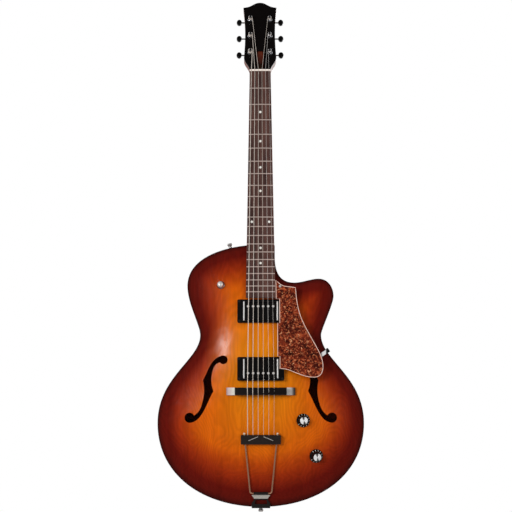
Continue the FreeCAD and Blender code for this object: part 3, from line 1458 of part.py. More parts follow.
def saddle_front(x):
    return board_y(BRIDGE_Z) - STRING_RISE_BRIDGE + STRING_CLEARANCE + string_drop(x) - 0.4


def bridge_saddle():
    """The saddle: crowned like the fingerboard, notched for the strings, bored for the studs."""
    back = saddle_back()
    end_y = saddle_front(SADDLE_HALF)
    left = V(-SADDLE_HALF, end_y, 0)
    right = V(SADDLE_HALF, end_y, 0)
    crown = Part.Arc(left, V(0, saddle_front(0), 0), right).toShape()
    lower_right = V(SADDLE_HALF, back, 0)
    lower_left = V(-SADDLE_HALF, back, 0)
    outline = Part.Wire([crown, Part.LineSegment(right, lower_right).toShape(),
                         Part.LineSegment(lower_right, lower_left).toShape(),
                         Part.LineSegment(lower_left, left).toShape()])
    blank = Part.Face(outline).extrude(V(0, 0, SADDLE_HEIGHT))
    blank.translate(V(0, 0, BRIDGE_Z - SADDLE_HEIGHT / 2))
    crown_edges = [edge for edge in blank.Edges
                   if edge.Length > SADDLE_HALF and edge.BoundBox.YMax < end_y + 0.1]
    blank = blank.makeChamfer(SADDLE_CHAMFER, crown_edges)
    cutters = []
    for x in (-STUD_X, STUD_X):
        start = V(x, back, BRIDGE_Z)
        cutters.append(Part.makeCylinder(STUD_RADIUS + STUD_FIT, SADDLE_STUD_HOLE, start, -Y_AXIS))
    for number, diameter in enumerate(STRING_DIAMETERS):
        corners = string_corners(number)
        cutters.append(bent_tube(corners[:3], diameter / 2 + STRING_CLEARANCE))
    return blank.cut(cutters)


# Tailpiece, in a local frame on its hinge, along the wires

def bar_local():
    high = WIRE_LENGTH - BAR_TOP_GAP
    bar = box(-BAR_WIDTH / 2, BAR_WIDTH / 2, -BAR_THICKNESS / 2, BAR_THICKNESS / 2, high - BAR_HEIGHT, high)
    return bar.makeFillet(BAR_ROUND, bar.Edges)


def wire_corners():
    return [V(-WIRE_TOP_HALF, 0, WIRE_LENGTH), V(-WIRE_FOOT_HALF, 0, 0), V(WIRE_FOOT_HALF, 0, 0),
            V(WIRE_TOP_HALF, 0, WIRE_LENGTH)]


def tailpiece_wire():
    """One bent wire: the hinge rung below and both legs, with a ball on each end."""
    legs = tube(bent_path(wire_corners(), WIRE_BEND), WIRE_RADIUS)
    balls = [Part.makeSphere(WIRE_BALL, end) for end in (wire_corners()[0], wire_corners()[-1])]
    return placed(union([legs] + balls), BAR_PLACE)


def tailpiece_bar():
    high = WIRE_LENGTH - BAR_TOP_GAP
    bore = tube(bent_path(wire_corners(), WIRE_BEND), WIRE_RADIUS + WIRE_FIT)
    cutters = [bore]
    for number in range(len(STRING_DIAMETERS)):
        x = (number - (len(STRING_DIAMETERS) - 1) / 2) * TAIL_STRING_SPACING
        start = V(x, 0, high - STRING_HOLE_DEPTH)
        cutters.append(Part.makeCylinder(STRING_HOLE_RADIUS, STRING_HOLE_DEPTH, start, Z_AXIS))
    return placed(bar_local().cut(cutters), BAR_PLACE)


def tailpiece_bracket():
    """A bracket bent over the tail's edge: hinge barrel, waisted front with a window, and screwed foot."""
    thick = BRACKET_THICKNESS
    front = HINGE_Y + HINGE_BARREL - thick
    points = [(-HINGE_HALF, HINGE_Z), (HINGE_HALF, HINGE_Z), (HINGE_HALF, HINGE_Z - HINGE_BARREL),
              (BRACKET_HALF, HINGE_Z - HINGE_BARREL - 1), (BRACKET_HALF - 1, BRACKET_WAIST_Z + 6),
              (BRACKET_WAIST_HALF, BRACKET_WAIST_Z + 2), (BRACKET_WAIST_HALF, BRACKET_WAIST_Z - 2),
              (BRACKET_HALF, BRACKET_WAIST_Z - 8), (BRACKET_HALF, -thick)]
    outline = points + [(-x, z) for x, z in reversed(points[2:])]
    high = BRACKET_WAIST_HALF - BRACKET_LEG
    low = (BRACKET_WAIST_HALF + BRACKET_HALF) / 2 - BRACKET_LEG
    window = flat_solid([(-high, BRACKET_WINDOW_HIGH), (high, BRACKET_WINDOW_HIGH), (low, BRACKET_WINDOW_LOW),
                         (-low, BRACKET_WINDOW_LOW)], front - thick, front + 2 * thick)
    plate = flat_solid(outline, front, front + thick).cut(window)
    foot = box(-BRACKET_HALF, BRACKET_HALF, front, BRACKET_FOOT_Y, -thick, 0)
    barrel = Part.makeCylinder(HINGE_BARREL, 2 * HINGE_HALF, V(-HINGE_HALF, HINGE_Y, HINGE_Z), X_AXIS)
    start = V(-2 * HINGE_HALF, HINGE_Y, HINGE_Z)
    bore = Part.makeCylinder(WIRE_RADIUS + WIRE_FIT, 4 * HINGE_HALF, start, X_AXIS)
    return union([plate, foot, barrel]).cut([bore] + small_screws())


# Pickguard

def guard_normal():
    return V(0, -ANGLE_COS, ANGLE_SIN)


def guard_screw_place():
    return GUARD_SCREW[0], NECK_PICKUP_Z + GUARD_SCREW[1]


def pickguard():
    """A flat guard level with the fingerboard's face, notched round both pickups."""
    neck_z = NECK_PICKUP_Z
    low_z = BRIDGE_PICKUP_Z
    notch_half = RING_HEIGHT / 2 + GUARD_NOTCH_MARGIN
    tip_t = (NUT_Z - neck_z - GUARD_TIP_Z) / ANGLE_COS
    tip = (board_half(tip_t) + GUARD_BOARD_GAP, neck_z + GUARD_TIP_Z)
    foot = (board_half(BOARD_LENGTH) + GUARD_BOARD_GAP, neck_z + notch_half)
    shoulder = (GUARD_SHOULDER[0], neck_z + GUARD_SHOULDER[1])
    corner = (GUARD_CORNER[0], neck_z + GUARD_CORNER[1])
    side_point = (GUARD_SIDE[0], low_z + GUARD_SIDE[1])
    round_side = (GUARD_ROUND_SIDE[0], low_z + GUARD_ROUND_SIDE[1])
    round_low = (GUARD_ROUND_LOW[0], low_z + GUARD_ROUND_LOW[1])
    low = (GUARD_LOW[0], low_z + GUARD_LOW[1])
    heel_point = (GUARD_NOTCH_X, low_z)
    notches = [heel_point, (GUARD_NOTCH_X, low_z + notch_half), (GUARD_INNER_X, low_z + notch_half),
               (GUARD_INNER_X, neck_z - notch_half), (GUARD_NOTCH_X, neck_z - notch_half),
               (GUARD_NOTCH_X, neck_z + notch_half), foot, tip]
    straight = [bezier(start, end).toShape() for start, end in zip(notches, notches[1:])]
    dip = (tip[1] - shoulder[1]) * 0.8
    edges = [
        bezier(tip, (tip[0] + 6, tip[1] - dip * 0.6),
               (shoulder[0] - 10, shoulder[1] + 1), shoulder).toShape(),
        bezier(shoulder, corner).toShape(),
        bezier(corner, (corner[0] + 2.5, corner[1] - 50),
               (side_point[0] - 14, side_point[1] + 26), side_point).toShape(),
        bezier(side_point, (side_point[0] + 14, side_point[1] - 26), (round_side[0], round_side[1] + 20),
               round_side).toShape(),
        bezier(round_side, (round_side[0], round_side[1] - 12),
               (round_low[0] + 12, round_low[1]), round_low).toShape(),
        bezier(round_low, (round_low[0] - 16, round_low[1]), (low[0] + 12, low[1] - 5), low).toShape(),
        bezier(low, (low[0] - 10, low[1] + 4), (heel_point[0] + 8, heel_point[1]), heel_point).toShape(),
    ]
    plate = wire_solid(Part.Wire(edges + straight), 0, GUARD_THICKNESS)
    plate.translate(V(0, 0, -neck_z))
    place = FreeCAD.Placement(V(0, board_y(neck_z), neck_z), FreeCAD.Rotation(X_AXIS, -NECK_ANGLE))
    return placed(plate, place).cut(small_screws())


def guard_bracket_seat():
    """Where the guard's strap meets the side, at the waist."""
    return edge_point(TREBLE_WAIST_CURVE, "z", GUARD_BRACKET_Z)


def guard_bracket():
    """A strap from under the guard, bent down the side, and a spacer at the neck end."""
    point, way_out = guard_bracket_seat()
    along = way_out.cross(Y_AXIS)
    front = board_y(point.z + GUARD_STRAP_WIDTH / 2) + GUARD_THICKNESS / ANGLE_COS + SEAT_GAP
    thick = GUARD_STRAP_THICKNESS
    gap = SEAT_GAP
    profile = [(-GUARD_STRAP_REACH, front), (gap + thick, front), (gap + thick, -GUARD_STRAP_FOOT),
               (gap, -GUARD_STRAP_FOOT), (gap, front + thick), (-GUARD_STRAP_REACH, front + thick)]
    start = point - along * (GUARD_STRAP_WIDTH / 2)
    corners = [start + way_out * reach + V(0, y, 0) for reach, y in profile]
    strap = Part.Face(Part.makePolygon(corners + [corners[0]])).extrude(along * GUARD_STRAP_WIDTH)
    x, z = guard_screw_place()
    normal = guard_normal()
    top = V(x, board_y(z), z) - normal * GUARD_THICKNESS
    spacer = Part.makeCylinder(GUARD_SPACER_RADIUS, NECK_RISE + ARCH_TOP, top, normal * -1).cut(ON_TOP)
    return Part.makeCompound([strap.cut(guard_screw()), spacer.cut(small_screws())])


def guard_screw():
    """A broad-headed screw through the strap into the side."""
    point, way_out = guard_bracket_seat()
    base = V(point.x, -(GUARD_STRAP_FOOT + GUARD_SCREW_RADIUS + 1), point.z)
    base += way_out * (SEAT_GAP + GUARD_STRAP_THICKNESS)
    profile = [(0, GUARD_SCREW_HEAD), (GUARD_SCREW_RADIUS * 0.85, GUARD_SCREW_HEAD),
               (GUARD_SCREW_RADIUS, GUARD_SCREW_HEAD * 0.8), (GUARD_SCREW_RADIUS, 0), (GUARD_SCREW_SHANK, 0),
               (GUARD_SCREW_SHANK, -GUARD_SCREW_LENGTH), (0, -GUARD_SCREW_LENGTH)]
    return turned(profile, base, way_out)


# Controls and jack

def knob(x, z):
    """A skirted knob with the shaft that it turns."""
    base, normal = top_seat(x, z)
    low = KNOB_GAP
    step = KNOB_SKIRT_HEIGHT
    top = KNOB_GAP + KNOB_HEIGHT
    bore_top = KNOB_GAP + KNOB_BORE_HEIGHT
    bush = POT_BUSHING_RADIUS + 1.0
    bush_top = POT_BUSHING_RISE + KNOB_GAP
    outer = [(KNOB_SKIRT_RADIUS, low), (KNOB_SKIRT_RADIUS, low + step * 0.35),
             (KNOB_RADIUS + 0.8, low + step), (KNOB_RADIUS, top - 1.2), (KNOB_RADIUS - 1.2, top),
             (0, top), (0, bore_top), (SHAFT_RADIUS, bore_top),
             (SHAFT_RADIUS, bush_top), (bush, bush_top), (bush, low)]
    shaft_low = -PLATE_THICKNESS - POT_BUSHING_RISE
    shaft = Part.makeCylinder(SHAFT_RADIUS, bore_top - shaft_low, base + normal * shaft_low, normal)
    return Part.makeCompound([turned(outer, base, normal), shaft])


def potentiometer(x, z):
    """A pot under the top: its can, and the bushing through the plate."""
    base, normal = top_seat(x, z)
    low = -PLATE_THICKNESS - 1.0
    inner = SHAFT_RADIUS + SHAFT_FIT
    floor = low - POT_BUSHING_RISE - SHAFT_FIT
    profile = [(inner, POT_BUSHING_RISE), (POT_BUSHING_RADIUS, POT_BUSHING_RISE),
               (POT_BUSHING_RADIUS, low), (POT_RADIUS, low), (POT_RADIUS, low - POT_DEPTH),
               (0, low - POT_DEPTH), (0, floor), (inner, floor)]
    return turned(profile, base, normal)


def toggle_switch():
    """The switch's case under the top, its bushing and the round nut on the outside."""
    base, normal = top_seat(TOGGLE_X, TOGGLE_Z)
    low = -PLATE_THICKNESS - 1.0
    profile = [(TOGGLE_BORE, TOGGLE_BUSHING_RISE), (TOGGLE_BUSHING_RADIUS, TOGGLE_BUSHING_RISE),
               (TOGGLE_BUSHING_RADIUS, TOGGLE_FLANGE_HEIGHT), (TOGGLE_FLANGE_RADIUS, TOGGLE_FLANGE_HEIGHT),
               (TOGGLE_FLANGE_RADIUS, SEAT_GAP * 2), (TOGGLE_BUSHING_RADIUS, SEAT_GAP * 2),
               (TOGGLE_BUSHING_RADIUS, low - 1), (TOGGLE_BORE, low - 1)]
    case = box(-TOGGLE_BODY_WIDTH / 2, TOGGLE_BODY_WIDTH / 2, -TOGGLE_BODY_HEIGHT / 2, TOGGLE_BODY_HEIGHT / 2,
               low - TOGGLE_BODY_DEPTH, low)
    well = Part.makeCylinder(TOGGLE_BORE, TOGGLE_BODY_DEPTH * 0.6, V(0, 0, low), -Z_AXIS)
    return union([turned(profile, base, normal), standing(case.cut(well), base, normal)])


def toggle_pivot():
    base, normal = top_seat(TOGGLE_X, TOGGLE_Z)
    return base, normal


def toggle_lever():
    """The lever with its pivot ball, and the tip pressed on it."""
    base, normal = toggle_pivot()
    end = TOGGLE_BUSHING_RISE + TOGGLE_LEVER_LENGTH
    foot = -PLATE_THICKNESS - 3.0
    rod = Part.makeCylinder(TOGGLE_LEVER_RADIUS, end - foot, V(0, 0, foot), Z_AXIS)
    ball = Part.makeSphere(TOGGLE_BALL, V(0, 0, 0))
    lever = union([rod, ball])
    tip_low = TOGGLE_BUSHING_RISE + 2.6
    tip_top = tip_low + TOGGLE_TIP_HEIGHT
    wide = TOGGLE_TIP_RADIUS
    profile = [(TOGGLE_LEVER_RADIUS, tip_low), (wide * 0.5, tip_low), (wide * 0.9, tip_low + 2.2),
               (wide, tip_low + 4.4), (wide * 0.86, tip_top - 1.4), (wide * 0.5, tip_top - 0.3),
               (0, tip_top), (0, end - 4), (TOGGLE_LEVER_RADIUS, end - 4)]
    rod_top = Part.makeCylinder(TOGGLE_LEVER_RADIUS, RIM_DEPTH, V(0, 0, end - 4), Z_AXIS)
    return Part.makeCompound([standing(lever.cut(rod_top), base, normal), turned(profile, base, normal)])


def jack_seat():
    """Where the jack comes through the treble side."""
    point, way_out = edge_point(TREBLE_LOWER_CURVE, "z", JACK_Z)
    return V(point.x, JACK_Y, point.z), way_out


def output_jack():
    """A round jack socket: threaded sleeve outside, body inside, bored for the plug."""
    point, way_out = jack_seat()
    low = -SIDE_THICKNESS - 1.0
    profile = [(JACK_BORE, JACK_RISE), (JACK_RADIUS, JACK_RISE), (JACK_RADIUS, low), (JACK_BODY_RADIUS, low),
               (JACK_BODY_RADIUS, -JACK_DEPTH), (JACK_BORE, -JACK_DEPTH)]
    return turned(profile, point, way_out)


def jack_nut():
    """A hexagonal nut on the jack's sleeve, against the side."""
    point, way_out = jack_seat()
    radius = JACK_NUT_FLATS / 2 / math.cos(math.pi / 6)
    corners = [V(radius * math.cos(math.pi * k / 3), radius * math.sin(math.pi * k / 3), 0) for k in range(7)]
    prism = Part.Face(Part.makePolygon(corners)).extrude(V(0, 0, JACK_NUT_THICKNESS))
    hole = Part.makeCylinder(JACK_RADIUS, JACK_NUT_THICKNESS, V(0, 0, 0), Z_AXIS)
    return standing(prism.cut(hole), point + way_out * SEAT_GAP * 2, way_out)


def all_parts():
    """Every node's shape, by name."""
    wound = [string(number) for number in range(WOUND_COUNT)]
    plain = [string(number) for number in range(WOUND_COUNT, len(STRING_DIAMETERS))]
    straps = [make(*place) for place in strap_button_places() for make in (strap_button, strap_screw)]
    pots = [potentiometer(VOLUME_X, VOLUME_Z), potentiometer(TONE_X, TONE_Z)]
    parts = {
        "top_plate": top_plate(), "back_plate": back_plate(),
        "bass_side": side(False), "treble_side": side(True),
        "neck_block": neck_block(), "tail_block": tail_block(),
        "linings": linings(), "tone_bars": tone_bars(),
        "neck": neck(), "headstock_overlay": headstock_overlay(),
        "fingerboard": fingerboard(), "frets": frets(),
        "position_dots": position_dots(), "nut": nut(),
        "truss_rod": truss_rod(), "truss_rod_nut": truss_rod_nut(),
        "tuner_housings": tuner_housings(), "tuner_bushings": tuner_bushings(),
        "wound_strings": Part.makeCompound(wound), "plain_strings": Part.makeCompound(plain),
        "neck_pickup_ring": pickup_ring(NECK_PICKUP_Z, RING_LIP),
        "bridge_pickup_ring": pickup_ring(BRIDGE_PICKUP_Z, BRIDGE_RING_LIP),
        "neck_pickup_cover": pickup_cover(*PICKUPS[0]), "bridge_pickup_cover": pickup_cover(*PICKUPS[1]),
        "pickup_side_bars": pickup_side_bars(), "pickup_pole_screws": pickup_pole_screws(),
        "pickup_coils": pickup_coils(), "small_screws": Part.makeCompound(small_screws()),
        "bridge_base": bridge_base(), "bridge_saddle": bridge_saddle(), "bridge_posts": bridge_posts(),
        "bass_thumbwheel": thumbwheel(-STUD_X), "treble_thumbwheel": thumbwheel(STUD_X),
        "tailpiece_bracket": tailpiece_bracket(), "tailpiece_wire": tailpiece_wire(),
        "tailpiece_bar": tailpiece_bar(), "strap_buttons": Part.makeCompound(straps),
        "pickguard": pickguard(), "pickguard_bracket": guard_bracket(), "pickguard_screw": guard_screw(),
        "volume_knob": knob(VOLUME_X, VOLUME_Z), "tone_knob": knob(TONE_X, TONE_Z),
        "potentiometers": Part.makeCompound(pots),
        "toggle_switch": toggle_switch(), "toggle_lever": toggle_lever(),
        "output_jack": output_jack(), "jack_nut": jack_nut(),
    }
    for number in range(6):
        parts["tuner_post_%d" % (number + 1)] = tuner_part(tuner_post(), number)
        worm, button = tuner_button()
        pair = Part.makeCompound([tuner_part(worm, number), tuner_part(button, number)])
        parts["tuner_button_%d" % (number + 1)] = pair
    return parts


os.makedirs("parts", exist_ok=True)
for name, shape in all_parts().items():
    if not shape.isValid():
        print("not valid:", name)
    print(name, len(shape.Solids), round(shape.Volume))
    shape.exportStep("parts/%s.step" % name)
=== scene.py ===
import json
import math

import bmesh
import bpy
import numpy as np
from mathutils import Matrix, Vector

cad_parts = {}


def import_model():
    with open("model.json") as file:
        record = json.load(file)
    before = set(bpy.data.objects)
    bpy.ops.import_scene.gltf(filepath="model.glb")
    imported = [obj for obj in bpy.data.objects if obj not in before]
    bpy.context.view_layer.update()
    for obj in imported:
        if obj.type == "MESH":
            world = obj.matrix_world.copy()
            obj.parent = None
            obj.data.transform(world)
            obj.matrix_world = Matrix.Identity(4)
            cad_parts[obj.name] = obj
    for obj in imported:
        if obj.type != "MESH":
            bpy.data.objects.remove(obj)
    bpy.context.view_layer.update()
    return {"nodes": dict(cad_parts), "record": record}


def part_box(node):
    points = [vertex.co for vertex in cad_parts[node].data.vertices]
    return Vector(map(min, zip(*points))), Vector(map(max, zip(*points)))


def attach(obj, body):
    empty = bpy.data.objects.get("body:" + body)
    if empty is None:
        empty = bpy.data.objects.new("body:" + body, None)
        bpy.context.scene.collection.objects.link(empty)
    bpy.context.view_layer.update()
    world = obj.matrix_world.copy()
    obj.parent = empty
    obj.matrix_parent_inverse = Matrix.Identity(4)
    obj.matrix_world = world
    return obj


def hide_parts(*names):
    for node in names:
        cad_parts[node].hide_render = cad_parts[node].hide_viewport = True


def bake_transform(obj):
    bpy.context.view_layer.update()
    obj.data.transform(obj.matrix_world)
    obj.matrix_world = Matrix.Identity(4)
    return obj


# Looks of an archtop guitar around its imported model, in metres and in the model's own frame.
# X runs to the treble side, Y to the back and Z up the neck.

MM = 0.001
X_AXIS = Vector((1, 0, 0))
Z_AXIS = Vector((0, 0, 1))

# Camera and photograph
IMAGE_WIDTH = 512
FOCAL_PIXELS = 1100
SENSOR = 36.0
CAMERA_PLACE = (-0.009, -2.226, 0.262)
CAMERA_PITCH = 6.02
CAMERA_ROLL = -0.07

# Floor
FLOOR_RADIUS = 0.5
FLOOR_HEIGHT = -0.3
FLOOR_SIDES = 72

# Studio: its grey for soft light, and how far to the front its mirrored light fades out
STUDIO_STRENGTH = 0.42
MIRROR_EDGE = 0.35
MIRROR_LEAST = 0.02

# Sunburst: how deep it reaches from the edge, and the glow in the middle of the top
BURST_REACH = 120 * MM
BODY_LENGTH = 514 * MM
BURST_SHARES = [(0.0, 0.65), (0.16, 0.74), (0.33, 1.0), (0.64, 1.3), (0.84, 0.96), (1.0, 0.98)]
GLOW_CENTRE = (0, 0, 262 * MM)
GLOW_SIZE = (95 * MM, 150 * MM)
GLOW_EDGE = 1.25
GLOW_STRENGTH = 0.85
BACK_GLOW_SIZE = (110 * MM, 190 * MM)
FIGURE_STRETCH = 0.22
FIGURE_FOOT = 0.05
FIGURE_LINES = 240.0
WALL_DEPTH = 10 * MM
WALL_FACING = 0.35
HALF_DEPTH = 38 * MM

# Strings, bass to treble
STRING_DIAMETERS = [1.42 * MM, 1.17 * MM, 0.91 * MM, 0.66 * MM, 0.46 * MM, 0.36 * MM]
WOUND_COUNT = 4
TAIL_SPACING = 10.2 * MM
BRIDGE_SPACING = 10.4 * MM
NUT_SPACING = 7.2 * MM
CROWN_RADIUS = 406 * MM
SADDLE_GROOVE = 0.25 * MM
NUT_PLACE = Vector((0, -28.185 * MM, 874.059 * MM))
NECK_ANGLE = math.radians(3.8)
NUT_STRING_RISE = 1.5 * MM
NUT_STRING_STEP = 1.19 * MM
TAIL_HOLE_DEPTH = 6.4 * MM
STRING_BEND = 6 * MM
POST_HEIGHT = 12.5 * MM
POST_RADIUS = 3.0 * MM
WINDING_CLEARANCE = 0.3 * MM
WINDING_GAP = 0.5 * MM
WINDING_TOP = 9.6 * MM
WINDING_TURNS = 3
WINDING_STEPS = 24
TAIL_STEPS = 12
WOUND_SIDES = 10
PLAIN_SIDES = 8

# Trim that the solids leave plain
BAR_TILT = math.radians(9.0)
BAR_HALF_THICKNESS = 4.0 * MM
CHEVRON_ENDS = ((24.0 * MM, -10.2 * MM), (5.4 * MM, -2.4 * MM))
CHEVRON_WIDTH = 1.1 * MM
CHEVRON_RISE = 0.3 * MM
KNOB_CAP_RADIUS = 7.4 * MM
KNOB_CAP_RISE = 1.0 * MM
KNOB_CAP_SIDES = 64
KNOB_SKIRT = (9.9 * MM, 13.0 * MM, 4.7 * MM, 2.1 * MM)
KNOB_TICKS = 11
TICK_SWEEP = 270
TICK_WIDTH = 0.7 * MM
TICK_RISE = 0.12 * MM
# Turn of the knob caps' painted highlight fans
PAINTED_FAN_TILT = math.radians(15)
GUARD_BEAD = 0.65 * MM
GUARD_BEAD_SIDES = 8
SHARP_ANGLE = 0.6

# Places between which a piece changes colour: some mark another finish, some a painted highlight, some
# painted shade
BUTTON_START = 37.9 * MM
BRIGHT_SCREWS = (420 * MM, 1200 * MM)
BRACKET_PLATE = (16.5 * MM, 23.6 * MM)
WIRE_ENDS = (137 * MM, 200 * MM)
ARM_ENDS = (118 * MM, 134.4 * MM)
SCOOP_HALF = 8 * MM
SCOOP_ENDS = (890 * MM, 918 * MM)
BRIDGE_HALF = 67.4 * MM
BRIDGE_FLAT_HALF = 50.4 * MM

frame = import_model()
NODES = frame["nodes"]
JOINTS = {joint["name"]: joint for joint in frame["record"]["behaviour"]["joints"]}


# Node trees

def srgb(red, green, blue):
    """A colour as a screen shows it, 0 to 255, turned into the linear values that shaders use."""
    shares = [value / 255 for value in (red, green, blue)]
    return tuple(s / 12.92 if s <= 0.04045 else ((s + 0.055) / 1.055) ** 2.4 for s in shares) + (1.0,)


def feed(tree, socket, value):
    if isinstance(value, bpy.types.NodeSocket):
        tree.links.new(value, socket)
    else:
        socket.default_value = value


def node(tree, kind, inputs=None, **settings):
    """A new node with its settings, and its inputs set to values or linked to other nodes' outputs."""
    made = tree.nodes.new(kind)
    for name, value in settings.items():
        setattr(made, name, value)
    for name, value in (inputs or {}).items():
        feed(tree, made.inputs[name], value)
    return made


def calc(tree, operation, first, second=0.0):
    return node(tree, "ShaderNodeMath", {0: first, 1: second}, operation=operation).outputs[0]


def mix(tree, factor, first, second, blend="MIX"):
    made = node(tree, "ShaderNodeMix", data_type="RGBA", blend_type=blend)
    feed(tree, made.inputs[0], factor)
    feed(tree, made.inputs[6], first)
    feed(tree, made.inputs[7], second)
    return made.outputs[2]


def ramp(tree, factor, stops, interpolation="LINEAR"):
    """A colour ramp through (place, colour) stops."""
    made = node(tree, "ShaderNodeValToRGB", {"Fac": factor})
    made.color_ramp.interpolation = interpolation
    elements = made.color_ramp.elements
    while len(elements) < len(stops):
        elements.new(0.5)
    for element, (place, colour) in zip(elements, stops):
        element.position = place
        element.color = colour
    return made.outputs["Color"]


def shade(value):
    return (value, value, value, 1.0)


def place_of(tree, scale=(1, 1, 1), turn=(0, 0, 0)):
    """Object coordinates, stretched and turned."""
    coordinates = node(tree, "ShaderNodeTexCoord").outputs["Object"]
    mapping = node(tree, "ShaderNodeMapping", {"Vector": coordinates, "Scale": scale, "Rotation": turn})
    return mapping.outputs["Vector"]


def along(tree, axis):
    """One object coordinate, by its letter."""
    coordinates = node(tree, "ShaderNodeTexCoord").outputs["Object"]
    return node(tree, "ShaderNodeSeparateXYZ", {0: coordinates}).outputs[axis]


def between(tree, value, limits):
    """1 where a value lies between two limits, else 0."""
    above = calc(tree, "GREATER_THAN", value, limits[0])
    return calc(tree, "MULTIPLY", above, calc(tree, "LESS_THAN", value, limits[1]))


def noise(tree, vector, scale, detail=4.0, roughness=0.55, distortion=0.0):
    made = node(tree, "ShaderNodeTexNoise", {"Vector": vector, "Scale": scale, "Detail": detail,
                                             "Roughness": roughness, "Distortion": distortion})
    return made.outputs["Fac"]


def spread(tree, value, low, high, to_low=0.0, to_high=1.0):
    made = node(tree, "ShaderNodeMapRange", {"Value": value, "From Min": low, "From Max": high,
                                             "To Min": to_low, "To Max": to_high})
    return made.outputs["Result"]


def bump(tree, height, strength, distance=0.2 * MM):
    made = node(tree, "ShaderNodeBump", {"Height": height, "Strength": strength, "Distance": distance})
    return made.outputs["Normal"]


def new_material(name):
    material = bpy.data.materials.new(name)
    material.use_nodes = True
    return material, material.node_tree, material.node_tree.nodes["Principled BSDF"]


def finish_surface(tree, surface, inputs):
    for name, value in inputs.items():
        feed(tree, surface.inputs[name], value)


# Wood

def grain(tree, axis, fine, coarse, contrast=1.0):
    """Streaks that run along one axis: fine pores and broad bands, both about 1."""
    across = [1.0, 1.0, 1.0]
    across[axis] = 0.03
    stretched = place_of(tree, across)
    dark, light = 1 - 0.2 * contrast, 1 + 0.14 * contrast
    pores = spread(tree, noise(tree, stretched, fine, 6.0, 0.65), 0.3, 0.7, dark, light)
    bands = spread(tree, noise(tree, stretched, coarse, 3.0, 0.5, 0.6), 0.3, 0.7, dark, light)
    return calc(tree, "MULTIPLY", pores, bands)


def streaked(tree, colour, streaks):
    """A colour darkened and lightened by streaks."""
    tone = node(tree, "ShaderNodeCombineColor", {0: streaks, 1: streaks, 2: streaks}).outputs[0]
    return mix(tree, 1.0, colour, tone, "MULTIPLY")


def ellipse_share(tree, centre, size):
    """1 in the middle of an upright ellipse, falling to 0 at its edge."""
    scale = (1 / size[0], 0, 1 / size[1])
    place = node(tree, "ShaderNodeTexCoord").outputs["Object"]
    offset = node(tree, "ShaderNodeVectorMath", {0: place, 1: centre}, operation="SUBTRACT")
    scaled = node(tree, "ShaderNodeVectorMath", {0: offset.outputs[0], 1: scale}, operation="MULTIPLY")
    length = node(tree, "ShaderNodeVectorMath", {0: scaled.outputs[0]}, operation="LENGTH")
    made = node(tree, "ShaderNodeMapRange", {"Value": length.outputs["Value"], "From Min": GLOW_EDGE,
                                             "From Max": 0.0}, interpolation_type="SMOOTHSTEP")
    return made.outputs["Result"]


def figure(tree):
    """Year rings cut by the plate: upright lines above, which spread into nested arches near its foot."""
    share = calc(tree, "ADD", calc(tree, "DIVIDE", along(tree, "Z"), BODY_LENGTH), FIGURE_FOOT)
    height = calc(tree, "MULTIPLY", calc(tree, "LOGARITHM", share, math.e), FIGURE_STRETCH * BODY_LENGTH)
    vector = node(tree, "ShaderNodeCombineXYZ", {"X": along(tree, "X"), "Z": height}).outputs[0]
    rings = noise(tree, vector, 9.0, 3.0, 0.35)
    lines = calc(tree, "SINE", calc(tree, "MULTIPLY", rings, FIGURE_LINES))
    return spread(tree, lines, -1.0, 1.0, 0.92, 1.05)


def burst(name, stops, glow, glow_size, roughness):
    """A plate's sunburst: dark at the edge, through red and orange to amber, under a satin lacquer."""
    material, tree, surface = new_material(name)
    rim = node(tree, "ShaderNodeAttribute", attribute_name="rim").outputs["Fac"]
    height = calc(tree, "DIVIDE", along(tree, "Z"), BODY_LENGTH)
    reach = ramp(tree, height, [(place, shade(share / 2)) for place, share in BURST_SHARES], "EASE")
    inward = calc(tree, "DIVIDE", rim, BURST_REACH / 2)
    stained = ramp(tree, calc(tree, "MULTIPLY", inward, reach), stops)
    glowing = calc(tree, "MULTIPLY", ellipse_share(tree, GLOW_CENTRE, glow_size), GLOW_STRENGTH)
    lit = mix(tree, glowing, stained, glow)
    streaks = calc(tree, "MULTIPLY", grain(tree, 2, 420.0, 60.0, 0.55), figure(tree))
    lacquered = streaked(tree, lit, streaks)
    normal = node(tree, "ShaderNodeNewGeometry").outputs["Normal"]
    facing = calc(tree, "ABSOLUTE", node(tree, "ShaderNodeSeparateXYZ", {0: normal}).outputs["Y"])
    steep = calc(tree, "LESS_THAN", facing, WALL_FACING)
    cut = calc(tree, "MULTIPLY", steep, calc(tree, "GREATER_THAN", rim, WALL_DEPTH))
    bare = streaked(tree, srgb(96, 40, 18), streaks)
    gloss = noise(tree, place_of(tree), 90.0, 3.0)
    finish_surface(tree, surface, {
        "Base Color": mix(tree, cut, lacquered, bare), "Specular IOR Level": 0.3,
        "Roughness": spread(tree, gloss, 0.3, 0.7, roughness - 0.03, roughness + 0.03),
        "Normal": bump(tree, streaks, 0.06),
    })
    return material


def burst_top():
    stops = [(0.0, srgb(26, 9, 9)), (0.018, srgb(64, 14, 11)), (0.07, srgb(90, 18, 11)),
             (0.16, srgb(97, 18, 10)), (0.26, srgb(126, 32, 11)), (0.36, srgb(150, 45, 11)),
             (0.5, srgb(178, 66, 9)), (0.68, srgb(208, 92, 8)), (1.0, srgb(210, 98, 8))]
    return burst("burst_top", stops, srgb(234, 140, 12), GLOW_SIZE, 0.135)


def burst_back():
    stops = [(0.0, srgb(26, 9, 9)), (0.02, srgb(50, 12, 10)), (0.15, srgb(74, 16, 10)),
             (0.35, srgb(112, 32, 12)), (0.7, srgb(152, 58, 14)), (1.0, srgb(172, 74, 14))]
    return burst("burst_back", stops, srgb(196, 98, 20), BACK_GLOW_SIZE, 0.28)


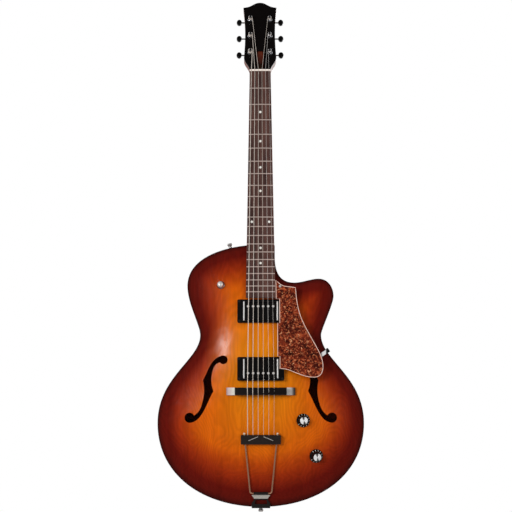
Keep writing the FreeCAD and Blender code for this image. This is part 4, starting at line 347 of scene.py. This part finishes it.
def burst_sides():
    """The sides: red-brown in the middle of their depth, nearly black towards both plates."""
    material, tree, surface = new_material("burst_sides")
    share = calc(tree, "DIVIDE", calc(tree, "ABSOLUTE", along(tree, "Y")), HALF_DEPTH)
    colour = ramp(tree, share, [(0.0, srgb(98, 30, 14)), (0.45, srgb(82, 21, 12)), (0.82, srgb(48, 12, 10)),
                                (1.0, srgb(28, 9, 9))])
    streaks = grain(tree, 1, 120.0, 30.0)
    finish_surface(tree, surface, {"Base Color": streaked(tree, colour, streaks), "Roughness": 0.26,
                                   "Specular IOR Level": 0.22, "Normal": bump(tree, streaks, 0.05)})
    return material


def neck_wood():
    """Stained mahogany, with painted shade darkening the front faces of the scoop that is cut into its front
    for the truss rod.
    """
    material, tree, surface = new_material("neck_wood")
    streaks = grain(tree, 2, 380.0, 50.0)
    normal = node(tree, "ShaderNodeNewGeometry").outputs["Normal"]
    front = calc(tree, "LESS_THAN", node(tree, "ShaderNodeSeparateXYZ", {0: normal}).outputs["Y"], -0.3)
    middle = calc(tree, "LESS_THAN", calc(tree, "ABSOLUTE", along(tree, "X")), SCOOP_HALF)
    height = spread(tree, along(tree, "Z"), *SCOOP_ENDS)
    # painted shade in the scoop, darkest at its lower end
    shadow = ramp(tree, height, [(0.0, srgb(48, 17, 12)), (1.0, srgb(104, 41, 22))])
    colour = mix(tree, calc(tree, "MULTIPLY", front, middle), srgb(124, 50, 26), shadow)
    finish_surface(tree, surface, {
        "Base Color": streaked(tree, colour, streaks), "Specular IOR Level": 0.2,
        "Roughness": spread(tree, streaks, 0.7, 1.2, 0.42, 0.32), "Normal": bump(tree, streaks, 0.08),
    })
    return material


def inner_wood():
    """The bare pale wood of the blocks, linings and bars inside the body."""
    material, tree, surface = new_material("inner_wood")
    streaks = grain(tree, 2, 300.0, 40.0)
    finish_surface(tree, surface, {
        "Base Color": streaked(tree, srgb(196, 158, 108), streaks), "Specular IOR Level": 0.4,
        "Roughness": spread(tree, streaks, 0.7, 1.2, 0.68, 0.58), "Normal": bump(tree, streaks, 0.15),
    })
    return material


def fingerboard_wood():
    """Oiled rosewood: dark brown with near-black and reddish streaks and open pores."""
    material, tree, surface = new_material("fingerboard_wood")
    bands = noise(tree, place_of(tree, (1, 1, 0.04)), 130.0, 4.0, 0.6, 0.4)
    colour = ramp(tree, bands, [(0.3, srgb(52, 31, 28)), (0.5, srgb(82, 52, 46)), (0.7, srgb(106, 70, 60))])
    pores = spread(tree, noise(tree, place_of(tree, (1, 1, 0.05)), 900.0, 3.0), 0.4, 0.62, 0.8, 1.05)
    finish_surface(tree, surface, {"Base Color": streaked(tree, colour, pores), "Roughness": 0.52,
                                   "Specular IOR Level": 0.35, "Normal": bump(tree, pores, 0.15)})
    return material


def bridge_wood():
    """Ebony, rubbed to a low sheen, with a pale painted reflection on its sloped ends that darkens into
    painted shade at their outer edges, most at the treble end.
    """
    material, tree, surface = new_material("bridge_wood")
    streaks = grain(tree, 0, 420.0, 90.0)
    side = along(tree, "X")
    wear_and_glint = spread(tree, calc(tree, "ABSOLUTE", side), BRIDGE_FLAT_HALF, BRIDGE_FLAT_HALF + 1.0 * MM)
    # painted reflection across both sloped ends, with painted shade darkening their outer edges, most at the
    # treble end
    painted_end_light = ramp(tree, spread(tree, side, -BRIDGE_HALF, BRIDGE_HALF),
                 [(0.0, srgb(150, 128, 126)), (0.03, srgb(206, 178, 178)), (0.1, srgb(228, 224, 210)),
                  (0.88, srgb(214, 210, 206)), (0.94, srgb(176, 170, 166)), (0.975, srgb(84, 74, 70)),
                  (1.0, srgb(40, 32, 30))])
    blotch = spread(tree, noise(tree, place_of(tree), 160.0, 3.0), 0.35, 0.65, 0.9, 1.04)
    dark = streaked(tree, srgb(21, 15, 13), streaks)
    finish_surface(tree, surface, {"Base Color": mix(tree, wear_and_glint, dark, streaked(tree, painted_end_light, blotch)),
                                   "Roughness": 0.4, "Specular IOR Level": 0.22,
                                   "Normal": bump(tree, streaks, 0.08)})
    return material


# Metal

def metal(name, colour, roughness, streak=0.04, scale=260.0, metallic=1.0):
    """Metal with faint polishing marks and a little wear in its gloss."""
    material, tree, surface = new_material(name)
    marks = noise(tree, place_of(tree, (1, 1, 0.15)), scale, 4.0, 0.6)
    tone = spread(tree, marks, 0.3, 0.7, 1 - streak, 1 + streak)
    finish_surface(tree, surface, {
        "Base Color": streaked(tree, colour, tone), "Metallic": metallic,
        "Roughness": spread(tree, marks, 0.3, 0.7, roughness * 0.8, roughness * 1.25),
    })
    return material


def satin_metal(name, colour, roughness=0.36):
    """Plated metal whose satin skin scatters light as well as mirroring it."""
    return metal(name, colour, roughness, metallic=0.55)


def zoned_metal(name, limits, inside, outside):
    """Plated metal that is bright between two heights and darker beyond them."""
    material, tree, surface = new_material(name)
    wear = noise(tree, place_of(tree), 900.0, 3.0)
    colour = mix(tree, between(tree, along(tree, "Z"), limits), outside, inside)
    tone = spread(tree, wear, 0.3, 0.7, 0.9, 1.05)
    finish_surface(tree, surface, {"Base Color": streaked(tree, colour, tone), "Metallic": 0.6,
                                   "Roughness": spread(tree, wear, 0.3, 0.7, 0.3, 0.42)})
    return material


def guard_arm():
    """The pickguard's arm: bright nickel painted up to a white highlight in its middle, with painted shadow
    where it leaves the guard and painted shade in black where it bends down the side.
    """
    material, tree, surface = new_material("guard_arm")
    wear_and_glint = noise(tree, place_of(tree), 900.0, 3.0)
    # painted shadow near the guard, nickel painted up to a white highlight in the middle, black painted shade
    # where the arm bends down the side
    colour = ramp(tree, spread(tree, along(tree, "X"), *ARM_ENDS),
                  [(0.0, srgb(150, 146, 142)), (0.2, srgb(250, 250, 250)), (0.56, srgb(255, 255, 255)),
                   (0.64, srgb(24, 28, 28))])
    tone = spread(tree, wear_and_glint, 0.3, 0.7, 0.94, 1.02)
    finish_surface(tree, surface, {"Base Color": streaked(tree, colour, tone), "Metallic": 0.3,
                                   "Roughness": 0.36})
    return material


def wound_wire():
    """A string's close outer winding, seen as fine rings along it."""
    material, tree, surface = new_material("wound_wire")
    rings = node(tree, "ShaderNodeTexWave", {"Vector": place_of(tree), "Scale": 480.0, "Distortion": 0.0},
                 wave_type="BANDS", bands_direction="Z").outputs["Fac"]
    tone = spread(tree, rings, 0.0, 1.0, 0.82, 1.05)
    finish_surface(tree, surface, {"Base Color": streaked(tree, srgb(240, 228, 216), tone), "Metallic": 0.4,
                                   "Roughness": 0.34, "Normal": bump(tree, rings, 0.3, 0.08 * MM)})
    return material


def spun_metal():
    """A knob's cap, turned on a lathe so that its gloss is stretched round it, with two bright fans and dark
    wedges between them painted into its colour as highlight and shade.
    """
    material, tree, surface = new_material("spun_metal")
    rings = node(tree, "ShaderNodeTexWave", {"Vector": place_of(tree), "Scale": 420.0, "Distortion": 0.6},
                 wave_type="RINGS", rings_direction="Z").outputs["Fac"]
    tangent = node(tree, "ShaderNodeTangent", direction_type="RADIAL", axis="Z").outputs["Tangent"]
    across = calc(tree, "MULTIPLY", along(tree, "X"), math.cos(PAINTED_FAN_TILT))
    aslant = calc(tree, "ADD", across, calc(tree, "MULTIPLY", along(tree, "Y"), math.sin(PAINTED_FAN_TILT)))
    flat = place_of(tree, (1, 1, 0))
    radius = node(tree, "ShaderNodeVectorMath", {0: flat}, operation="LENGTH").outputs["Value"]
    fan = calc(tree, "DIVIDE", calc(tree, "ABSOLUTE", aslant), radius)
    # painted highlight: bright fans to either side of the tilted line, with painted shade in the wedges
    # between them
    sheen = ramp(tree, fan, [(0.0, srgb(52, 48, 48)), (0.22, srgb(92, 86, 84)), (0.55, srgb(250, 248, 246)),
                             (1.0, srgb(255, 255, 255))])
    finish_surface(tree, surface, {
        "Base Color": streaked(tree, sheen, spread(tree, rings, 0.0, 1.0, 0.97, 1.0)),
        "Metallic": 0.3, "Roughness": 0.36, "Anisotropic": 0.85, "Anisotropic Rotation": 0.25,
        "Tangent": tangent,
    })
    return material


# Plastic, bone and rubber

def plastic(name, colour, roughness, specular, depth=0.03):
    """Moulded plastic with a faint orange-peel skin and a little dust in its sheen."""
    material, tree, surface = new_material(name)
    skin = noise(tree, place_of(tree), 1400.0, 2.0)
    dust = noise(tree, place_of(tree), 120.0, 5.0, 0.7)
    tone = spread(tree, dust, 0.3, 0.7, 0.88, 1.12)
    finish_surface(tree, surface, {
        "Base Color": streaked(tree, colour, tone), "Specular IOR Level": specular,
        "Roughness": spread(tree, dust, 0.3, 0.7, roughness - 0.04, roughness + 0.05),
        "Normal": bump(tree, skin, depth, 0.05 * MM),
    })
    return material


def button_plastic():
    """A tuner's black button on its steel shaft."""
    material, tree, surface = new_material("button_plastic")
    outside = calc(tree, "GREATER_THAN", calc(tree, "ABSOLUTE", along(tree, "X")), BUTTON_START)
    dust = noise(tree, place_of(tree), 240.0, 4.0, 0.6)
    black = streaked(tree, srgb(13, 12, 12), spread(tree, dust, 0.3, 0.7, 0.85, 1.15))
    steel = streaked(tree, srgb(150, 146, 142), spread(tree, dust, 0.3, 0.7, 0.92, 1.05))
    finish_surface(tree, surface, {"Base Color": mix(tree, outside, steel, black),
                                   "Metallic": calc(tree, "SUBTRACT", 1.0, outside),
                                   "Roughness": spread(tree, outside, 0.0, 1.0, 0.28, 0.24),
                                   "Specular IOR Level": 0.25})
    return material


def pearl():
    material, tree, surface = new_material("pearl")
    clouds = noise(tree, place_of(tree), 420.0, 3.0, 0.5, 1.5)
    colour = ramp(tree, clouds, [(0.3, srgb(214, 210, 204)), (0.5, srgb(240, 236, 226)),
                                 (0.7, srgb(226, 232, 232))])
    finish_surface(tree, surface, {"Base Color": colour, "Roughness": 0.22})
    return material


def bone():
    material, tree, surface = new_material("bone")
    flecks = noise(tree, place_of(tree, (0.2, 1, 1)), 700.0, 4.0, 0.6)
    colour = ramp(tree, flecks, [(0.3, srgb(236, 218, 206)), (0.55, srgb(252, 240, 230)),
                                 (0.75, srgb(254, 246, 238))])
    finish_surface(tree, surface, {"Base Color": colour, "Roughness": 0.38,
                                   "Normal": bump(tree, flecks, 0.04)})
    return material


def tortoise():
    """Tortoise-pattern plastic: dark red-brown with orange-brown clouds and sparse pink flecks."""
    material, tree, surface = new_material("tortoise")
    place = place_of(tree, (1, 1, 1), (0, math.radians(25), 0))
    stirred = node(tree, "ShaderNodeTexNoise", {"Vector": place, "Scale": 120.0, "Detail": 2.0})
    shifted = node(tree, "ShaderNodeVectorMath", {0: stirred.outputs["Color"], 1: (0.006, 0.006, 0.006)},
                   operation="MULTIPLY")
    moved = node(tree, "ShaderNodeVectorMath", {0: place, 1: shifted.outputs[0]}, operation="ADD").outputs[0]
    broad = noise(tree, moved, 90.0, 5.0, 0.65)
    body = ramp(tree, broad, [(0.36, srgb(44, 12, 9)), (0.5, srgb(84, 26, 16)), (0.64, srgb(130, 48, 25))])
    fleck = ramp(tree, noise(tree, moved, 300.0, 3.0, 0.6), [(0.54, shade(0.0)), (0.6, shade(0.85))])
    pale = ramp(tree, noise(tree, moved, 200.0, 4.0, 0.75), [(0.6, shade(0.0)), (0.65, shade(0.9))])
    spotted = mix(tree, fleck, body, srgb(184, 92, 54))
    flecked = mix(tree, pale, spotted, srgb(236, 168, 120))
    finish_surface(tree, surface, {"Base Color": flecked, "Roughness": 0.2, "Specular IOR Level": 0.25})
    return material


def guard_edge():
    """The pickguard's scraped edge, where a pale layer shows."""
    return plastic("guard_edge", srgb(244, 206, 190), 0.4, 0.4)


def tick_paint():
    return plastic("tick_paint", srgb(226, 222, 214), 0.5, 0.4)


MATERIALS = {
    "burst_top": burst_top(),
    "burst_back": burst_back(),
    "burst_sides": burst_sides(),
    "inner_wood": inner_wood(),
    "neck_wood": neck_wood(),
    "black_lacquer": plastic("black_lacquer", srgb(12, 9, 9), 0.2, 0.2),
    "fingerboard_wood": fingerboard_wood(),
    "bridge_wood": bridge_wood(),
    "fret_wire": satin_metal("fret_wire", srgb(236, 214, 204)),
    "pearl": pearl(),
    "bone": bone(),
    "steel": metal("steel", srgb(164, 162, 162), 0.32),
    "brass": metal("brass", srgb(206, 176, 112), 0.24),
    "chrome": metal("chrome", srgb(224, 224, 228), 0.1, 0.02),
    "wound_wire": wound_wire(),
    "plain_wire": metal("plain_wire", srgb(252, 246, 240), 0.3, metallic=0.4),
    "black_plastic": plastic("black_plastic", srgb(12, 10, 10), 0.4, 0.15),
    "coil_wire": metal("coil_wire", srgb(112, 58, 34), 0.35, 0.1, 900.0),
    "tortoise": tortoise(),
    "black_rubber": plastic("black_rubber", srgb(17, 15, 15), 0.55, 0.22, 0.12),
}


# Frame meshes

def points_of(name):
    mesh = NODES[name].data
    flat = np.empty(len(mesh.vertices) * 3)
    mesh.vertices.foreach_get("co", flat)
    return flat.reshape(-1, 3)


def sharp_edges(name):
    """A node's sharp edges as pairs of points, in groups that hang together."""
    work = bmesh.new()
    work.from_mesh(NODES[name].data)
    bmesh.ops.remove_doubles(work, verts=work.verts, dist=0.002 * MM)
    sharp = [edge for edge in work.edges if edge.calc_face_angle(0.0) > SHARP_ANGLE]
    linked = {}
    for edge in sharp:
        for vertex in edge.verts:
            linked.setdefault(vertex, []).append(edge)
    groups = []
    seen = set()
    for first in sharp:
        if first in seen:
            continue
        group = []
        waiting = [first]
        seen.add(first)
        while waiting:
            edge = waiting.pop()
            group.append([vertex.co.copy() for vertex in edge.verts])
            for vertex in edge.verts:
                fresh = [other for other in linked[vertex] if other not in seen]
                seen.update(fresh)
                waiting += fresh
        groups.append(group)
    work.free()
    return groups


def spans(group):
    points = np.array([point for pair in group for point in pair])
    return points.max(axis=0) - points.min(axis=0)


def distance_in_plan(points, pairs):
    """Each point's distance in X and Z from the nearest of the edges."""
    starts = np.array([[a.x, a.z] for a, b in pairs])
    runs = np.array([[b.x - a.x, b.z - a.z] for a, b in pairs])
    squares = np.maximum((runs ** 2).sum(axis=1), 1e-12)
    plan = points[:, [0, 2]]
    least = np.full(len(plan), np.inf)
    for start, run, square in zip(starts, runs, squares):
        offset = plan - start
        share = np.clip(offset @ run / square, 0, 1)
        gap = offset - share[:, None] * run
        least = np.minimum(least, (gap ** 2).sum(axis=1))
    return np.sqrt(least)


def store_rim(name):
    """Writes each point's distance from the plate's outer edge, for the sunburst."""
    groups = sharp_edges(name)
    outline = max(groups, key=lambda group: spans(group)[0])
    attribute = NODES[name].data.attributes.new("rim", "FLOAT", "POINT")
    attribute.data.foreach_set("value", distance_in_plan(points_of(name), outline).astype(np.float32))


def own_finishes():
    """Finishes of single nodes, where their slot's plain finish is too coarse; on the tailpiece's bracket and
    wire and the guard's arm they include painted highlights, reflections and shade.
    """
    dark = srgb(48, 43, 41)
    return {
        "small_screws": zoned_metal("screw_metal", BRIGHT_SCREWS, srgb(232, 226, 220), dark),
        # painted highlight across the bracket's plate, painted shade on the hinge, window and legs above and
        # below it
        "tailpiece_bracket": zoned_metal("bracket_metal", BRACKET_PLATE, srgb(232, 224, 214), dark),
        # the wire's warm tint is a painted reflection of the orange top; its bright upper end at the ball
        # ends is brass with a painted glint
        "tailpiece_wire": zoned_metal("wire_metal", WIRE_ENDS, srgb(252, 232, 206), srgb(186, 140, 112)),
        "truss_rod_nut": metal("dark_brass", srgb(70, 44, 30), 0.5),
        "pickup_side_bars": satin_metal("bar_nickel", srgb(248, 246, 243)),
        "pickup_pole_screws": satin_metal("pole_nickel", srgb(246, 242, 238)),
        "pickguard_bracket": guard_arm(),
        "tailpiece_bar": plastic("bar_black", srgb(37, 30, 27), 0.42, 0.25),
        "toggle_lever": satin_metal("lever_nickel", srgb(240, 232, 226), 0.3),
        "strap_buttons": satin_metal("button_nickel", srgb(204, 202, 200)),
    }


def paint_frame():
    for part in frame["record"]["subparts"]:
        mesh = NODES[part["node"]].data
        mesh.materials.clear()
        mesh.materials.append(MATERIALS[part["material_slot"]])
    buttons = button_plastic()
    for number in range(1, len(STRING_DIAMETERS) + 1):
        NODES["tuner_button_%d" % number].data.materials[0] = buttons
    for name, material in own_finishes().items():
        NODES[name].data.materials[0] = material
    store_rim("top_plate")
    store_rim("back_plate")


# New pieces

def new_piece(name, vertices, faces, material, smooth=True):
    mesh = bpy.data.meshes.new(name)
    mesh.from_pydata([tuple(point) for point in vertices], [], faces)
    mesh.update()
    mesh.materials.append(material)
    if smooth:
        mesh.shade_smooth()
    piece = bpy.data.objects.new(name, mesh)
    bpy.context.scene.collection.objects.link(piece)
    return piece


def rounded_path(corners, radius, steps=5):
    """The corners with each bend turned into a short curve."""
    path = [corners[0]]
    for before, corner, after in zip(corners, corners[1:], corners[2:]):
        into = corner + (before - corner).normalized() * radius
        out = corner + (after - corner).normalized() * radius
        for step in range(steps + 1):
            share = step / steps
            path.append(into.lerp(corner, share).lerp(corner.lerp(out, share), share))
    return path + [corners[-1]]


def tube_mesh(path, radius, sides, base):
    """Vertices and faces of a closed round tube along a path."""
    vertices = []
    faces = []
    way = (path[1] - path[0]).normalized()
    side = way.orthogonal().normalized()
    for place, point in enumerate(path):
        ahead = path[min(place + 1, len(path) - 1)] - path[max(place - 1, 0)]
        way = ahead.normalized()
        side = (side - way * side.dot(way)).normalized()
        other = way.cross(side)
        for step in range(sides):
            angle = 2 * math.pi * step / sides
            vertices.append(point + (side * math.cos(angle) + other * math.sin(angle)) * radius)
    for ring in range(len(path) - 1):
        for step in range(sides):
            first = base + ring * sides + step
            second = base + ring * sides + (step + 1) % sides
            faces.append((first, second, second + sides, first + sides))
    last = base + (len(path) - 1) * sides
    faces.append(tuple(base + step for step in reversed(range(sides))))
    faces.append(tuple(last + step for step in range(sides)))
    return vertices, faces


def crown_drop(x):
    return CROWN_RADIUS - math.sqrt(CROWN_RADIUS ** 2 - x ** 2)


def bar_frame():
    """The tailpiece bar's frame, from its hinge, and the height of the bar's top above it."""
    hinge = Vector(JOINTS["tailpiece_hinge"]["pos_m"])
    place = Matrix.Translation(hinge) @ Matrix.Rotation(BAR_TILT, 4, "X")
    local = [place.inverted() @ Vector(point) for point in points_of("tailpiece_bar")]
    return place, max(point.z for point in local)


def post_frame(number):
    """A tuner post's middle at the headstock's face, and the ways in, up and out there."""
    joint = JOINTS["tuner_post_%d_turn" % (number + 1)]
    base = Vector(joint["pos_m"])
    front = -Vector(joint["axis"])
    top = max((Vector(point) - base).dot(front) for point in points_of("tuner_post_%d" % (number + 1)))
    inner = X_AXIS if base.x < 0 else -X_AXIS
    up = front.cross(X_AXIS).normalized()
    up = up if up.z > 0 else -up
    return base + front * (top - POST_HEIGHT), inner, up, front


def string_path(number):
    """A string from the tailpiece over saddle and nut to the turns on its post."""
    diameter = STRING_DIAMETERS[number]
    step = number - (len(STRING_DIAMETERS) - 1) / 2
    bar, top = bar_frame()
    tail = bar @ Vector((step * TAIL_SPACING, 0, top - TAIL_HOLE_DEPTH))
    low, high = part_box("bridge_saddle")
    saddle_x = step * BRIDGE_SPACING
    saddle_y = low[1] + SADDLE_GROOVE - diameter / 2 + crown_drop(saddle_x)
    saddle = Vector((saddle_x, saddle_y, (low[2] + high[2]) / 2))
    nut_x = step * NUT_SPACING
    nut_frame = Matrix.Translation(NUT_PLACE) @ Matrix.Rotation(-NECK_ANGLE, 4, "X")
    nut = nut_frame @ Vector((nut_x, crown_drop(nut_x) - NUT_STRING_RISE - diameter / 2, NUT_STRING_STEP))
    centre, inner, up, front = post_frame(number)
    radius = POST_RADIUS + WINDING_CLEARANCE + diameter / 2
    offset = nut - centre
    across = offset.dot(inner)
    upward = offset.dot(up)
    first = math.atan2(upward, across) + math.acos(radius / math.hypot(across, upward))
    turns = []
    for turn_step in range(WINDING_TURNS * WINDING_STEPS + 1):
        turned = 2 * math.pi * turn_step / WINDING_STEPS
        height = WINDING_TOP - (diameter + WINDING_GAP) * turned / (2 * math.pi)
        angle = first + turned
        round_post = inner * math.cos(angle) + up * math.sin(angle)
        turns.append(centre + round_post * radius + front * height)
    after_bar = [tail.lerp(saddle, share / TAIL_STEPS) for share in range(TAIL_STEPS)]
    bent = rounded_path([after_bar[-1], saddle, nut, turns[0]], STRING_BEND)
    return after_bar[:-1] + bent + turns[1:]


def strings(name, numbers, slot, sides):
    vertices = []
    faces = []
    for number in numbers:
        tube = tube_mesh(string_path(number), STRING_DIAMETERS[number] / 2, sides, len(vertices))
        vertices += tube[0]
        faces += tube[1]
    piece = new_piece(name, vertices, faces, MATERIALS[slot])
    bar, top = bar_frame()
    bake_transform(piece)
    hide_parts(name)


def lathe_mesh(profile, sides):
    """Vertices and faces turned round Z from (radius, height) points, closed at the middle."""
    vertices = []
    faces = []
    for radius, height in profile:
        for step in range(sides):
            angle = 2 * math.pi * step / sides
            vertices.append(Vector((radius * math.cos(angle), radius * math.sin(angle), height)))
    for ring in range(len(profile) - 1):
        for step in range(sides):
            first = ring * sides + step
            second = ring * sides + (step + 1) % sides
            faces.append((first, second, second + sides, first + sides))
    last = (len(profile) - 1) * sides
    faces.append(tuple(reversed(range(sides))))
    faces.append(tuple(last + step for step in range(sides)))
    return vertices, faces


def knob_frame(body):
    """A knob's frame at the top's surface, Z along its shaft, and the height of its flat end."""
    joint = JOINTS[body + "_knob_turn"]
    base = Vector(joint["pos_m"])
    axis = Vector(joint["axis"]).normalized()
    height = max((Vector(point) - base).dot(axis) for point in points_of(body + "_knob"))
    return Matrix.Translation(base) @ Z_AXIS.rotation_difference(axis).to_matrix().to_4x4(), height


def knob_cap(body, material):
    place, height = knob_frame(body)
    edge = KNOB_CAP_RADIUS
    brow = edge - 0.4 * MM
    brow_height = height + 0.6 * MM
    crown = KNOB_CAP_RISE - 0.6 * MM
    profile = [(edge, height - 0.2 * MM), (edge, height + 0.3 * MM), (brow, brow_height)]
    for step in range(1, 7):
        share = 1 - step / 6.5
        profile.append((brow * share, brow_height + crown * (1 - share ** 2)))
    vertices, faces = lathe_mesh(profile, KNOB_CAP_SIDES)
    piece = new_piece(body + "_knob_cap", vertices, faces, material)
    piece.matrix_world = place
    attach(piece, body)


def knob_ticks(body, material):
    """Painted lines down the knob's skirt, round three quarters of it."""
    place = knob_frame(body)[0]
    inner, outer, inner_height, outer_height = KNOB_SKIRT
    tick_ends = ((inner + 0.4 * MM, inner_height - 0.25 * MM), (outer - 0.5 * MM, outer_height + 0.4 * MM))
    vertices = []
    faces = []
    for tick in range(KNOB_TICKS):
        angle = math.radians(TICK_SWEEP * (tick / (KNOB_TICKS - 1) - 0.5))
        radial = Vector((math.cos(angle), math.sin(angle), 0))
        side = Vector((-math.sin(angle), math.cos(angle), 0)) * TICK_WIDTH / 2
        lift = Vector((0, 0, TICK_RISE))
        base = len(vertices)
        for radius, level in tick_ends:
            point = radial * radius + Z_AXIS * level
            vertices += [point - side - lift, point + side - lift, point + side + lift, point - side + lift]
        faces += [(base + a, base + b, base + c, base + d) for a, b, c, d in
                  ((0, 1, 5, 4), (1, 2, 6, 5), (2, 3, 7, 6), (3, 0, 4, 7), (3, 2, 1, 0), (4, 5, 6, 7))]
    piece = new_piece(body + "_knob_ticks", vertices, faces, material, False)
    piece.matrix_world = place
    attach(piece, body)


def chevrons():
    """Two bright strips let into the tailpiece bar's front."""
    bar, top = bar_frame()
    vertices = []
    faces = []
    for side in (-1, 1):
        (low_x, low_z), (high_x, high_z) = CHEVRON_ENDS
        start = Vector((side * low_x, 0, top + low_z))
        end = Vector((side * high_x, 0, top + high_z))
        run = (end - start).normalized()
        across = Vector((-run.z, 0, run.x)) * CHEVRON_WIDTH / 2
        base = len(vertices)
        for point in (start, end):
            for front in (-BAR_HALF_THICKNESS + CHEVRON_RISE, -BAR_HALF_THICKNESS - CHEVRON_RISE):
                for edge in (-1, 1):
                    vertices.append(bar @ (point + across * edge + Vector((0, front, 0))))
        faces += [(base + a, base + b, base + c, base + d) for a, b, c, d in
                  ((2, 3, 7, 6), (0, 4, 5, 1), (0, 2, 6, 4), (1, 5, 7, 3), (0, 1, 3, 2), (4, 6, 7, 5))]
    piece = new_piece("tailpiece_chevrons", vertices, faces, satin_metal("strip_nickel", srgb(222, 214, 206)),
                      False)
    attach(piece, "tailpiece")


def ordered_loop(group):
    """A group of edges put in order round their loop."""
    ways = {}
    for a, b in group:
        first = tuple(round(value / (0.01 * MM)) for value in a)
        second = tuple(round(value / (0.01 * MM)) for value in b)
        ways.setdefault(first, []).append((second, b))
        ways.setdefault(second, []).append((first, a))
    start = max(ways, key=lambda key: key[2])
    loop = []
    before = None
    here = start
    while True:
        step = next(((key, point) for key, point in ways[here] if key != before), None)
        if step is None:
            break
        before, here = here, step[0]
        loop.append(step[1])
        if here == start or len(loop) > len(ways):
            break
    return loop


def guard_bead():
    """The pale line round the pickguard's front edge."""
    front = Vector((0, -math.cos(NECK_ANGLE), math.sin(NECK_ANGLE)))
    level = max(front.dot(Vector(point)) for point in points_of("pickguard"))
    pairs = [pair for group in sharp_edges("pickguard") for pair in group
             if all(front.dot(point) > level - 0.05 * MM for point in pair)]
    loop = ordered_loop(pairs)
    vertices, faces = tube_mesh(loop + [loop[0]], GUARD_BEAD, GUARD_BEAD_SIDES, 0)
    piece = new_piece("pickguard_edge", vertices, faces, guard_edge())
    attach(piece, "guitar")


# Stage

def look(place, target):
    """The matrix of a lamp at a place, turned to a target."""
    turn = (Vector(target) - Vector(place)).to_track_quat("-Z", "Y")
    return Matrix.Translation(place) @ turn.to_matrix().to_4x4()


def softbox(name, place, target, width, height, power, mirrored=True):
    """A plain rectangular lamp; one that isn't mirrored lights surfaces without a glint."""
    light = bpy.data.lights.new(name, "AREA")
    light.shape = "RECTANGLE"
    light.size = width
    light.size_y = height
    light.energy = power
    lamp = bpy.data.objects.new(name, light)
    lamp.matrix_world = look(place, target)
    lamp.visible_glossy = mirrored
    bpy.context.scene.collection.objects.link(lamp)


def lights():
    softbox("left_softbox", (-1.36, -2.15, 0.66), (0, 0, 0.35), 0.24, 0.52, 12)
    softbox("right_softbox", (1.5, -1.7, 0.7), (0, 0, 0.4), 0.9, 1.3, 8)
    softbox("front_fill", (-1.2, -2.1, 0.9), (0, 0, 0.25), 1.3, 0.9, 23, False)
    softbox("back_softbox", (0.9, 2.2, 1.2), (0, 0, 0.4), 1.6, 1.6, 22)


def world():
    """A white backdrop for the camera; a plain grey studio for the light that falls on the guitar."""
    scene_world = bpy.data.worlds.new("studio")
    bpy.context.scene.world = scene_world
    scene_world.use_nodes = True
    tree = scene_world.node_tree
    background = tree.nodes["Background"]
    paths = node(tree, "ShaderNodeLightPath")
    way = node(tree, "ShaderNodeTexCoord").outputs["Generated"]
    behind = node(tree, "ShaderNodeSeparateXYZ", {0: way}).outputs["Y"]
    mirrored = spread(tree, behind, -MIRROR_EDGE, MIRROR_EDGE, MIRROR_LEAST, 1.0)
    sharp = calc(tree, "MAXIMUM", paths.outputs["Is Glossy Ray"], paths.outputs["Is Transmission Ray"])
    seen = paths.outputs["Is Camera Ray"]
    scattered = calc(tree, "SUBTRACT", 1.0, calc(tree, "MAXIMUM", sharp, seen))
    soft = calc(tree, "MULTIPLY", scattered, STUDIO_STRENGTH)
    strength = calc(tree, "ADD", calc(tree, "ADD", seen, soft), calc(tree, "MULTIPLY", sharp, mirrored))
    feed(tree, background.inputs["Color"], (1, 1, 1, 1))
    feed(tree, background.inputs["Strength"], strength)


def floor():
    material, tree, surface = new_material("floor")
    mottle = noise(tree, place_of(tree), 3.0, 3.0)
    colour = ramp(tree, mottle, [(0.3, shade(0.78)), (0.7, shade(0.84))])
    finish_surface(tree, surface, {"Base Color": colour, "Roughness": 0.8})
    mesh = bpy.data.meshes.new("floor")
    ring = []
    for step in range(FLOOR_SIDES):
        angle = 2 * math.pi * step / FLOOR_SIDES
        ring.append((FLOOR_RADIUS * math.cos(angle), FLOOR_RADIUS * math.sin(angle), FLOOR_HEIGHT))
    mesh.from_pydata(ring, [], [tuple(range(len(ring)))])
    mesh.materials.append(material)
    piece = bpy.data.objects.new("floor", mesh)
    bpy.context.scene.collection.objects.link(piece)


def camera():
    lens = bpy.data.cameras.new("camera")
    lens.sensor_width = SENSOR
    lens.lens = SENSOR * FOCAL_PIXELS / IMAGE_WIDTH
    eye = bpy.data.objects.new("camera", lens)
    tilt = Matrix.Rotation(math.radians(90 + CAMERA_PITCH), 4, "X")
    roll = Matrix.Rotation(math.radians(CAMERA_ROLL), 4, "Z")
    eye.matrix_world = Matrix.Translation(CAMERA_PLACE) @ tilt @ roll
    bpy.context.scene.collection.objects.link(eye)
    bpy.context.scene.camera = eye


paint_frame()
strings("wound_strings", range(WOUND_COUNT), "wound_wire", WOUND_SIDES)
strings("plain_strings", range(WOUND_COUNT, len(STRING_DIAMETERS)), "plain_wire", PLAIN_SIDES)
cap_metal = spun_metal()
tick_white = tick_paint()
for knob in ("volume", "tone"):
    knob_cap(knob, cap_metal)
    knob_ticks(knob, tick_white)
chevrons()
guard_bead()
camera()
lights()
world()
floor()
bpy.context.scene.view_settings.view_transform = "Standard"
